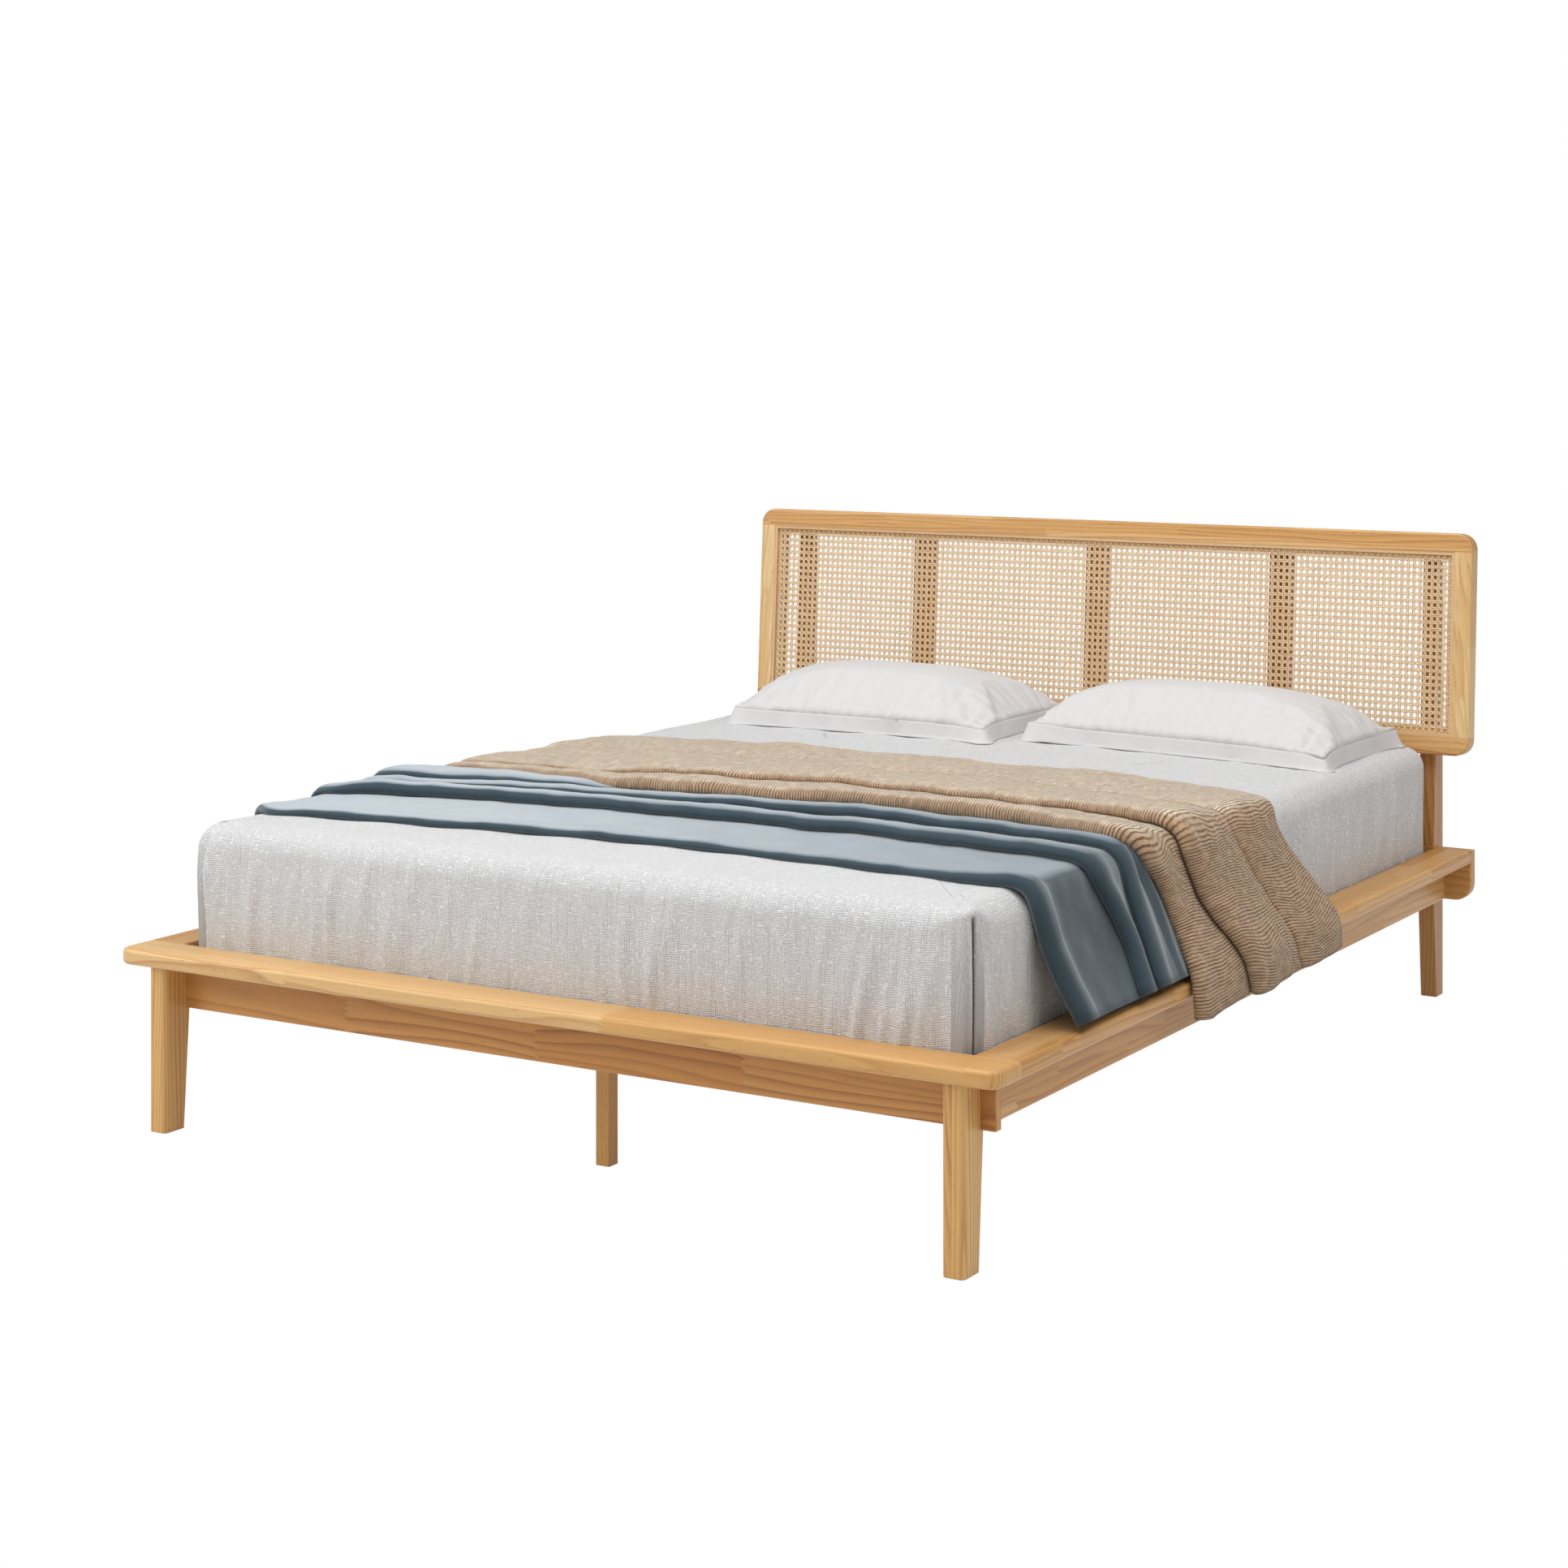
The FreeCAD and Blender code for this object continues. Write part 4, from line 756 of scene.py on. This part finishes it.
def cover_grid(stations, sections, tail, samples, ripple, seed, tent=(0.0, 0.0, 0.0)):
    """The cover's grid of points and its UV in metres of cloth, from its stations and sections.

    The net is a B-spline both ways in (arc length, along, height), laid on the hang path and its
    outward normal, with slow ripples from a sum of random plane waves. tent is a short crease that
    runs along the bed: its two coordinates and its rise.
    """
    net = np.array([[(station,) + tuple(spot) for spot in section]
                    for station, section in zip(stations, sections)])
    across = spline_weights(net.shape[0], np.linspace(0, 1, samples[0]))
    down = spline_weights(net.shape[1], np.linspace(0, 1, samples[1]))
    surface = np.einsum("ai,ijk,bj->abk", across, net, down)
    arc, path_x, path_z, normal_x, normal_z = hang_path(tail)
    run, along, height = surface[..., 0], surface[..., 1], surface[..., 2].copy()
    draw = np.random.default_rng(seed)
    longest, shortest, pinned_height = 0.30, 0.035, 0.006
    for length in np.geomspace(longest, shortest, 16):
        bearing, phase = draw.uniform(0, math.pi), draw.uniform(0, 2 * math.pi)
        wave = np.sin(2 * math.pi / length * (run * math.cos(bearing) + along * math.sin(bearing)) + phase)
        height += ripple * length / longest * wave * np.clip(height / pinned_height, 0, 1)
    tent_run, tent_along, tent_rise = tent
    tent_slant, tent_width, tent_length = 0.15, 0.016, 0.055
    off_ridge = run - tent_run - tent_slant * (along - tent_along)
    height += tent_rise * bell(off_ridge, tent_width) * bell(along - tent_along, tent_length)
    points = np.stack([np.interp(run, arc, path_x) + height * np.interp(run, arc, normal_x), foot_y + along,
                       np.interp(run, arc, path_z) + height * np.interp(run, arc, normal_z)], -1)
    section_step = np.linalg.norm(np.diff(surface[..., 1:], axis=1), axis=2)
    width_run = np.concatenate([[0], section_step.mean(0).cumsum()])
    uv = np.stack([run, np.broadcast_to(width_run, run.shape)], -1)
    return points, uv


def thicken(thing, thickness):
    """Gives a one-layer cloth its thickness, inwards from its face."""
    solid = thing.modifiers.new("cloth_thickness", "SOLIDIFY")
    solid.thickness = thickness
    solid.offset = -1.0


# Velvet throw: cotton velvet, woven with a short pile and folded into four rolls. Faces that point
# up get a paler colour, a painted highlight for the light the pile catches, and the noses keep the
# dark base colour. The painted highlight is strongest at the left end and weaker to the right.
mm = 0.001
# Stations are in metres of cloth. The other tables hold a value for each station, in mm: each
# fold's nose and the rear edge, measured from the foot board's front edge, the four crests'
# heights, and how far the fourth nose overhangs.
throw_stations = [-0.970, -0.87, -0.78, -0.71, -0.66, -0.59, -0.46, -0.28, -0.10, 0.10,
                  0.28, 0.42, 0.54, 0.64, 0.71, 0.765, 0.80, 0.84, 0.90, 0.970]
throw_front = [290, 290, 285, 205, 226, 242, 258, 278, 300, 306,
               302, 289, 283, 272, 262, 262, 268, 272, 276, 284]
throw_second = [440, 434, 425, 402, 436, 457, 482, 506, 520, 526,
                524, 514, 498, 484, 474, 470, 495, 512, 522, 502]
throw_third = [530, 530, 532, 536, 552, 576, 604, 612, 614, 632,
               646, 638, 622, 601, 585, 575, 576, 579, 575, 567]
throw_fourth = [620, 610, 600, 594, 612, 630, 648, 652, 670, 690,
                705, 700, 680, 655, 636, 640, 655, 665, 662, 650]
throw_rear = [800, 800, 804, 812, 806, 790, 764, 746, 745, 756,
              765, 756, 736, 706, 690, 692, 716, 729, 726, 702]
throw_crests = [(16, 20, 20, 20), (16, 20, 20, 22), (14, 20, 20, 26), (12, 24, 20, 29), (12, 33, 21, 32),
                (12, 33, 22, 34), (12, 31, 24, 35), (12, 30, 26, 31), (12, 30, 29, 23), (12, 31, 31, 18),
                (12, 31, 32, 16), (12, 31, 32, 16), (12, 31, 32, 15), (14, 31, 31, 15), (18, 31, 31, 15),
                (22, 32, 31, 15), (26, 34, 32, 14), (28, 34, 32, 13), (28, 32, 30, 12), (26, 28, 26, 11)]
throw_hollow = [0, 0, 2, 10, 22, 26, 22, 12, 2, 0, 0, 0, 0, 0, 0, 0, 0, 0, 0, 0]
throw_valleys, throw_foot, throw_last = (0.008, 0.013, 0.011), 0.001, 0.009
throw_sections = []
for *noses, rear, crests, hollow in zip(throw_front, throw_second, throw_third, throw_fourth, throw_rear,
                                        throw_crests, throw_hollow):
    noses, crests, hollows = np.array(noses) * mm, np.array(crests) * mm, (0.0, 0.0, hollow * mm)
    throw_sections.append(fold_section(noses, rear * mm, crests, throw_valleys, throw_foot, True, hollows,
                                       throw_last))
on_ledge = ledge_z + 0.0030
throw_tail = [(sheet_right + 0.012, 0.455), (0.800, 0.405), (0.822, 0.360), (0.838, 0.330),
              (0.8445, on_ledge)]
throw_ripple, throw_seed, throw_tent = 0.0009, 11, (0.095, 0.390, 0.006)
points, uv = cover_grid(throw_stations, throw_sections, throw_tail, (210, 215), throw_ripple, throw_seed,
                        throw_tent)

velvet, tree = new_material("cotton_velvet")
cut = add(tree, "ShaderNodeUVMap", uv_map="cut").outputs[0]
brushings_per_metre, tufts_per_metre = (9.0, 14.0, 1.0), 700.0
brushed_at = add(tree, "ShaderNodeVectorMath", {0: cut, 1: brushings_per_metre}, operation="MULTIPLY")
brushed = add(tree, "ShaderNodeTexNoise", {"Vector": brushed_at.outputs[0], "Scale": 1.0, "Detail": 4.0,
                                           "Roughness": 0.6})
pile = add(tree, "ShaderNodeTexNoise", {"Vector": cut, "Scale": tufts_per_metre, "Detail": 2.0})
tint = add(tree, "ShaderNodeMix", {0: brushed.outputs["Fac"], 6: linear("2d3b43"), 7: linear("44545e")},
           data_type="RGBA")
facing = add(tree, "ShaderNodeNewGeometry")
facing = add(tree, "ShaderNodeSeparateXYZ", {0: facing.outputs["Normal"]})
# Painted highlight: faces that point up get the paler colour, for the light they catch from above.
painted_top_light = add(tree, "ShaderNodeMapRange", {"Value": facing.outputs[2], "From Min": 0.80, "From Max": 1.0})
place_on = add(tree, "ShaderNodeSeparateXYZ", {0: cut})
# Painted highlight, strongest at the left end: the pale colour runs lighter to the left and darker to the
# right.
painted_left_light = add(tree, "ShaderNodeMapRange", {"Value": place_on.outputs[0], "From Min": -0.8, "From Max": 0.8,
                                           "To Min": 1.05, "To Max": -0.30})
painted_left_light = add(tree, "ShaderNodeMath", {0: brushed.outputs["Fac"], 1: 0.6, 2: painted_left_light.outputs[0]},
              operation="MULTIPLY_ADD")
pale = add(tree, "ShaderNodeMix", {0: painted_left_light.outputs[0], 6: linear("818c95"), 7: linear("b0bac1")},
           data_type="RGBA")
# The painted highlight, laid over the dark base colour on faces that point up.
tint = add(tree, "ShaderNodeMix", {0: painted_top_light.outputs[0], 6: tint.outputs[2], 7: pale.outputs[2]},
           data_type="RGBA")
relief = add(tree, "ShaderNodeMath", {0: brushed.outputs["Fac"], 1: 4.0, 2: pile.outputs["Fac"]},
             operation="MULTIPLY_ADD")
bump = add(tree, "ShaderNodeBump", {"Height": relief.outputs[0], "Strength": 0.35, "Distance": 0.0008})
surface = add(tree, "ShaderNodeBsdfPrincipled",
              {"Base Color": tint.outputs[2], "Roughness": 0.95, "Normal": bump.outputs[0],
               "Specular IOR Level": 0.1, "Sheen Weight": 0.55, "Sheen Roughness": 0.46,
               "Sheen Tint": linear("f6fafc")})
add(tree, "ShaderNodeOutputMaterial", {"Surface": surface.outputs[0]})
throw = place(grid_mesh("velvet_throw", points, uv), velvet, "bed_covers")
throw_area, throw_thickness = cloth_area(throw), 0.0022
thicken(throw, throw_thickness)
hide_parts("throw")


# Crinkled blanket: cotton gauze, puckered in washing into close wavy ribs. Between them lies a
# dark brown, painted shade, with less of it where the cloth faces up, and faces that point up are
# paler, a painted top light. It is folded in broad leaves and hangs past the ledge's outer edge.
blanket_last, blanket_ripple, blanket_seed = 0.008, 0.0013, 12
# The tables are in the throw's terms: hollow is how far the second nose overhangs, and foot is the
# height under the first nose.
blanket_stations = [-1.043, -0.97, -0.88, -0.80, -0.73, -0.66, -0.55, -0.42, -0.28, -0.10, 0.10, 0.28,
                    0.42, 0.55, 0.64, 0.71, 0.765, 0.80, 0.85, 0.90, 0.96, 1.0, 1.043]
blanket_front = [780, 780, 784, 788, 790, 778, 736, 690, 645, 648, 684, 708, 715, 699, 671, 643, 652, 692,
                 707, 713, 701, 690, 690]
blanket_second = [900, 885, 868, 856, 846, 834, 808, 806, 838, 882, 900, 888, 866, 852, 842, 813, 813, 823,
                  835, 850, 882, 905, 925]
blanket_third = [1150, 1140, 1120, 1100, 1120, 1140, 1150, 1160, 1165, 1165, 1160, 1150, 1130, 1110, 1080,
                 1060, 1050, 1060, 1080, 1110, 1130, 1150, 1160]
blanket_rear = [1370, 1350, 1320, 1300, 1340, 1375, 1395, 1412, 1424, 1414, 1408, 1408, 1398, 1365, 1335,
                1300, 1268, 1262, 1300, 1325, 1355, 1374, 1372]
blanket_crests = [(12, 16, 9), (12, 16, 9), (12, 16, 9), (13, 16, 9), (15, 17, 9), (19, 20, 11),
                  (27, 26, 14), (38, 31, 17), (46, 35, 17), (47, 36, 17), (46, 37, 17), (46, 37, 17),
                  (46, 37, 17), (44, 39, 17), (42, 41, 17), (38, 43, 17), (34, 44, 17), (31, 44, 17),
                  (29, 43, 16), (28, 41, 16), (27, 38, 16), (26, 35, 16), (25, 32, 15)]
blanket_hollow = [0, 0, 0, 0, 0, 0, 0, 0, 0, 0, 0, 0, 0, 0, 3, 7, 10, 12, 12, 11, 9, 6, 4]
blanket_foot = [5, 5, 5, 6, 8, 11, 17, 22, 22, 22, 22, 22, 22, 21, 20, 17, 13, 11, 10, 9, 8, 6, 4]
blanket_sections = []
for *noses, rear, crests, foot, hollow in zip(blanket_front, blanket_second, blanket_third, blanket_rear,
                                              blanket_crests, blanket_foot, blanket_hollow):
    noses, crests, hollows = np.array(noses) * mm, np.array(crests) * mm, (hollow * mm, 0.0)
    valleys = (0.004 + 0.9 * foot * mm, 0.006 + 0.4 * foot * mm)
    blanket_sections.append(fold_section(noses, rear * mm, crests, valleys, foot * mm, False, hollows,
                                         blanket_last))
blanket_tail = [(sheet_right + 0.014, 0.455), (0.802, 0.405), (0.826, 0.360), (0.846, 0.328),
                (0.8555, 0.300), (0.857, 0.275), (0.858, 0.256)]
points, uv = cover_grid(blanket_stations, blanket_sections, blanket_tail, (240, 190), blanket_ripple,
                        blanket_seed)

# Ribs run along the bed, bent by three sizes of drift and broken here and there by crumples. The
# crumples also darken and lighten the colour, as painted shade and light.
gauze, tree = new_material("crinkled_cotton_gauze")
cut = add(tree, "ShaderNodeUVMap", uv_map="cut").outputs[0]
rib_pitch, breaks_per_metre, crumples_per_metre = 0.0052, (60.0, 26.0, 1.0), (95.0, 48.0, 1.0)
wavy = cut
for turns_across, turns_along, sway in ((4.0, 4.0, 0.075), (9.0, 17.0, 0.007), (45.0, 120.0, 0.0022)):
    drift_at = add(tree, "ShaderNodeVectorMath", {0: cut, 1: (turns_across, turns_along, 1.0)},
                   operation="MULTIPLY")
    drift = add(tree, "ShaderNodeTexNoise", {"Vector": drift_at.outputs[0], "Scale": 1.0, "Detail": 1.0})
    wavy = add(tree, "ShaderNodeVectorMath", {0: drift.outputs["Color"], 1: (sway, 0.0, 0.0), 2: wavy},
               operation="MULTIPLY_ADD").outputs[0]
ribs = add(tree, "ShaderNodeTexWave", {"Vector": wavy, "Scale": wave_length / rib_pitch},
           bands_direction="X")
break_at = add(tree, "ShaderNodeVectorMath", {0: cut, 1: breaks_per_metre}, operation="MULTIPLY")
breaks = add(tree, "ShaderNodeTexNoise", {"Vector": break_at.outputs[0], "Scale": 1.0, "Detail": 2.0})
depth_of_rib = add(tree, "ShaderNodeMapRange", {"Value": breaks.outputs["Fac"], "From Min": 0.3,
                                                "From Max": 0.6, "To Min": 0.40, "To Max": 1.0})
plump = add(tree, "ShaderNodeMapRange", {"Value": ribs.outputs["Fac"], "From Max": 0.46})
# Grooves between the ribs: their depth shapes the bump and also sets the painted shade in the colour.
groove = add(tree, "ShaderNodeMath", {0: 1.0, 1: plump.outputs[0]}, operation="SUBTRACT")
groove = add(tree, "ShaderNodeMath", {0: groove.outputs[0], 1: depth_of_rib.outputs[0]}, operation="MULTIPLY")
rib = add(tree, "ShaderNodeMath", {0: 1.0, 1: groove.outputs[0]}, operation="SUBTRACT")
# Painted top light: faces that point up get a paler yarn colour and less groove shade.
facing = add(tree, "ShaderNodeNewGeometry")
facing = add(tree, "ShaderNodeSeparateXYZ", {0: facing.outputs["Normal"]})
painted_light_mask = add(tree, "ShaderNodeMapRange", {"Value": facing.outputs[2], "From Min": 0.75, "From Max": 1.0})
painted_top_light = add(tree, "ShaderNodeMath", {0: painted_light_mask.outputs[0], 1: 0.25}, operation="MULTIPLY")
rib_outside_shade = add(tree, "ShaderNodeMath", {0: rib.outputs[0], 1: painted_top_light.outputs[0]}, operation="MAXIMUM")
yarn = add(tree, "ShaderNodeMix", {0: painted_light_mask.outputs[0], 6: linear("bb9d7f"), 7: linear("e5d4bd")},
           data_type="RGBA")
crumple_at = add(tree, "ShaderNodeVectorMath", {0: cut, 1: crumples_per_metre}, operation="MULTIPLY")
crumple = add(tree, "ShaderNodeTexNoise", {"Vector": crumple_at.outputs[0], "Scale": 1.0, "Detail": 2.0,
                                           "Roughness": 0.6})
# Painted shade and light: the colour darkens and lightens with the crumples' relief.
crumple_painted_shade = add(tree, "ShaderNodeMapRange", {"Value": crumple.outputs["Fac"], "From Min": 0.3,
                                                "From Max": 0.7, "To Min": 0.76, "To Max": 1.14})
crumpled = add(tree, "ShaderNodeVectorMath", {0: yarn.outputs[2], "Scale": crumple_painted_shade.outputs[0]},
               operation="SCALE")
# Painted shade: the dark brown 735540 goes in the grooves, and the rib colour on the rest.
tint = add(tree, "ShaderNodeMix", {0: rib_outside_shade.outputs[0], 6: linear("735540"), 7: crumpled.outputs[0]},
           data_type="RGBA")
relief = add(tree, "ShaderNodeMath", {0: crumple.outputs["Fac"], 1: 3.2, 2: rib.outputs[0]},
             operation="MULTIPLY_ADD")
bump = add(tree, "ShaderNodeBump", {"Height": relief.outputs[0], "Strength": 1.0, "Distance": 0.0024})
surface = add(tree, "ShaderNodeBsdfPrincipled", {"Base Color": tint.outputs[2], "Roughness": 0.92,
                                                 "Normal": bump.outputs[0], "Specular IOR Level": 0.2,
                                                 "Sheen Weight": 0.5, "Sheen Roughness": 0.36,
                                                 "Sheen Tint": linear("fff4e6")})
add(tree, "ShaderNodeOutputMaterial", {"Surface": surface.outputs[0]})
blanket = place(grid_mesh("crinkled_blanket", points, uv), gauze, "bed_covers")
blanket_area, blanket_thickness = cloth_area(blanket), 0.0030
thicken(blanket, blanket_thickness)
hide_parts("blanket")


# Pillows: down pillows in flanged cases of washed cotton, soft and matt with small crumples. A
# case is two panels stitched round the filling, puckered along the stitches, with a border
# outside them that droops onto the bed and stands out in ears at its corners.
def pillow_grid(corners, seam_z, loft, drop, cells):
    """Both panels of a pillow as one closed grid mesh: points, quads, seam ring and (a, b) places.

    The plan spreads a square between four corners, its edges drawn in a little. A panel's height
    is loft times (1 - |a|^p)(1 - |b|^q) to a power; both share the seam's points.
    """
    power_a, power_b, crown_power, draw_in = 3.0, 2.4, 0.60, 0.010
    a, b = np.meshgrid(np.linspace(-1, 1, cells[0] + 1), np.linspace(-1, 1, cells[1] + 1), indexing="ij")
    s, t = (a + 1) / 2, (b + 1) / 2
    weights = np.stack([(1 - s) * (1 - t), s * (1 - t), s * t, (1 - s) * t], -1)
    spread = weights @ np.array(corners)
    x = spread[..., 0] - draw_in * a * (1 - b ** 2)
    y = spread[..., 1] - draw_in * b * (1 - a ** 2)
    body = np.clip((1 - np.abs(a) ** power_a) * (1 - np.abs(b) ** power_b), 0, 1) ** crown_power
    slant = spread[..., 2] * (np.abs(a) * np.abs(b)) ** 4
    top = np.stack([x, y, seam_z + slant + loft * body], -1)
    bottom = np.stack([x, y, seam_z + slant - drop * body ** crown_power], -1)
    index = np.arange(a.size).reshape(a.shape)
    lower = index + a.size
    edge = np.zeros(a.shape, bool)
    edge[[0, -1], :] = True
    edge[:, [0, -1]] = True
    lower[edge] = index[edge]
    quads = []
    for ids, flip in ((index, False), (lower, True)):
        ring = [ids[:-1, :-1], ids[1:, :-1], ids[1:, 1:], ids[:-1, 1:]]
        quads.append(np.stack(ring[::-1] if flip else ring, -1).reshape(-1, 4))
    points = np.concatenate([top.reshape(-1, 3), bottom.reshape(-1, 3)])
    spots = np.concatenate([np.stack([a, b], -1).reshape(-1, 2)] * 2)
    used = np.zeros(len(points), bool)
    quads = np.concatenate(quads)
    used[quads] = True
    renumber = np.cumsum(used) - 1
    border = np.concatenate([index[:, 0], index[-1, 1:], index[-2::-1, -1], index[0, -2:0:-1]])
    return points[used], renumber[quads], renumber[border], spots[used]


def inflate(thing, seam, frames, cap):
    """Swells the case by cloth simulation, its seam held; no point moves further than cap."""
    count = len(thing.data.vertices)
    start = np.empty(count * 3)
    thing.data.vertices.foreach_get("co", start)
    group = thing.vertex_groups.new(name="seam")
    group.add([int(i) for i in seam], 1.0, "REPLACE")
    cloth = thing.modifiers.new("case", "CLOTH")
    cloth.settings.vertex_group_mass = "seam"
    cloth.settings.use_pressure = True
    cloth.settings.uniform_pressure_force = 4.0
    cloth.settings.effector_weights.gravity = 0.0
    cloth.settings.shrink_min = -0.035
    cloth.settings.tension_stiffness = 25.0
    cloth.settings.compression_stiffness = 25.0
    cloth.settings.bending_stiffness = 0.4
    cloth.settings.quality = 6
    scene = bpy.context.scene
    for number in range(1, frames + 1):
        scene.frame_set(number)
    ready = thing.evaluated_get(bpy.context.evaluated_depsgraph_get())
    ended = np.empty(count * 3)
    ready.data.vertices.foreach_get("co", ended)
    thing.modifiers.remove(cloth)
    scene.frame_set(1)
    start, ended = start.reshape(-1, 3), ended.reshape(-1, 3)
    move = ended - start
    far = np.linalg.norm(move, axis=1)
    move *= np.minimum(1, cap / np.maximum(far, 1e-9))[:, None]
    return start + move


percale, tree = new_material("washed_cotton_percale")
here = add(tree, "ShaderNodeTexCoord").outputs["Object"]
crumples_per_metre, threads_per_metre = 38.0, 900.0    # threads about five times coarse, to show
crumple = add(tree, "ShaderNodeTexNoise",
              {"Vector": here, "Scale": crumples_per_metre, "Detail": 4.0, "Roughness": 0.55})
weave = add(tree, "ShaderNodeTexNoise", {"Vector": here, "Scale": threads_per_metre, "Detail": 2.0})
relief = add(tree, "ShaderNodeMath", {0: crumple.outputs["Fac"], 1: 7.0, 2: weave.outputs["Fac"]},
             operation="MULTIPLY_ADD")
bump = add(tree, "ShaderNodeBump", {"Height": relief.outputs[0], "Strength": 0.30, "Distance": 0.0006})
tint = add(tree, "ShaderNodeMix", {0: weave.outputs["Fac"], 6: linear("cccbcb"), 7: linear("d7d6d6")},
           data_type="RGBA")
surface = add(tree, "ShaderNodeBsdfPrincipled", {"Base Color": tint.outputs[2], "Roughness": 0.85,
                                                 "Normal": bump.outputs[0], "Specular IOR Level": 0.3,
                                                 "Sheen Weight": 0.15})
add(tree, "ShaderNodeOutputMaterial", {"Surface": surface.outputs[0]})

# Each corner of a case is a place on the bed and how far it stands above or below the seam.
pillow_corners = {
    "left_pillow": [(-0.655, 0.552, 0.004), (-0.012, 0.560, -0.006),
                    (-0.010, 1.000, 0.0), (-0.730, 1.000, 0.0)],
    "right_pillow": [(0.010, 0.640, 0.004), (0.738, 0.545, -0.010),
                     (0.738, 0.985, 0.002), (0.010, 1.000, 0.0)],
}
inset, seam_height, loft, drop, panel_cells = 0.020, 0.034, 0.084, 0.029, (108, 66)
swell_frames, most_swell = 14, 0.010
panel_half, pucker_pitches, pucker_share = np.array([0.33, 0.20]), (0.031, 0.019, 0.012), 0.100
pucker_reach, stitch_hold = 0.055, 0.010    # puckers fade from the seam, and the stitches hold it still
flange_out, flange_down, flange_rows = 0.006, 0.036, 8
ear_out, ear_down, ear_power = 2.6, 0.25, 12
ruffle_out, ruffle_up, flange_half, above_bed = 0.0014, 0.0016, 0.0011, 0.0011
for seed, (name, corners) in enumerate(pillow_corners.items()):
    base_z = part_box(name)[0][2]
    corners = np.array(corners)
    corners[:, :2] += inset * np.array([[1, 1], [-1, 1], [-1, -1], [1, -1]])
    points, quads, seam, spots = pillow_grid(corners, base_z + seam_height, loft, drop, panel_cells)
    case = place(quad_mesh("cotton_" + name, points, quads), percale)
    points = inflate(case, seam, swell_frames, most_swell)
    # Puckers: waves along each seam that fade towards the middle.
    draw = np.random.default_rng(21 + seed)
    from_seam = (1 - np.abs(spots)) * panel_half
    for near, walk in ((from_seam[:, 1], points[:, 0]), (from_seam[:, 0], points[:, 1])):
        held = np.exp(-near / pucker_reach) * (1 - np.exp(-near / stitch_hold))
        for pitch in pucker_pitches:
            turn, phase = draw.uniform(0.5, 1.5), draw.uniform(0, 6.28)
            pucker = np.sin(2 * np.pi / pitch * (walk + 0.006 * np.sin(walk * 23 * turn)) + phase)
            points[:, 2] += pucker_share * pitch * pucker * held
    points[:, 2] = np.maximum(points[:, 2], base_z)
    # Border: rings out from the seam that fall to the bed, ruffled, with an ear at each corner.
    ring = points[seam]
    wander = np.linspace(0, 2 * math.pi, len(seam), endpoint=False)
    outward = np.stack([np.roll(ring[:, 1], -1) - np.roll(ring[:, 1], 1),
                        np.roll(ring[:, 0], 1) - np.roll(ring[:, 0], -1)], -1)
    outward /= np.linalg.norm(outward, axis=1)[:, None]
    ear = (np.abs(spots[seam]).min(1)) ** ear_power
    ruffle = sum(draw.uniform(0.3, 1.0) * np.sin(waves * wander + draw.uniform(0, 6.28))
                 for waves in (3, 5, 8, 13, 21, 34))
    bands = []
    for share in np.linspace(0, 1, flange_rows):
        reach = flange_out * share ** 1.2 * (1 + ear_out * ear) + ruffle_out * share * ruffle
        fall = -flange_down * share * (1 + ear_down * ear) + ruffle_up * share * ruffle
        level = np.maximum(ring[:, 2] + fall, base_z + above_bed)
        bands.append(np.column_stack([ring[:, :2] + outward * reach[:, None], level]))
    middle = np.stack(bands)
    thin = flange_half * np.minimum(1, np.linspace(0.1, 5, flange_rows))[:, None, None]
    thin = thin * np.array([0, 0, 1.0])
    flange = np.concatenate([middle + thin, (middle - thin)[::-1]])
    rows, columns = flange.shape[:2]
    r, c = np.meshgrid(np.arange(rows), np.arange(columns), indexing="ij")
    flange_quads = np.stack([r * columns + c, r * columns + (c + 1) % columns,
                             (r + 1) % rows * columns + (c + 1) % columns, (r + 1) % rows * columns + c],
                            -1).reshape(-1, 4) + len(points)
    stitched = quad_mesh("cotton_" + name, np.concatenate([points, flange.reshape(-1, 3)]),
                         np.concatenate([quads, flange_quads]))
    bpy.data.objects.remove(case)
    pillow = place(stitched, percale, name + "_body")
    pillow.name = "cotton_" + name
    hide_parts(name)
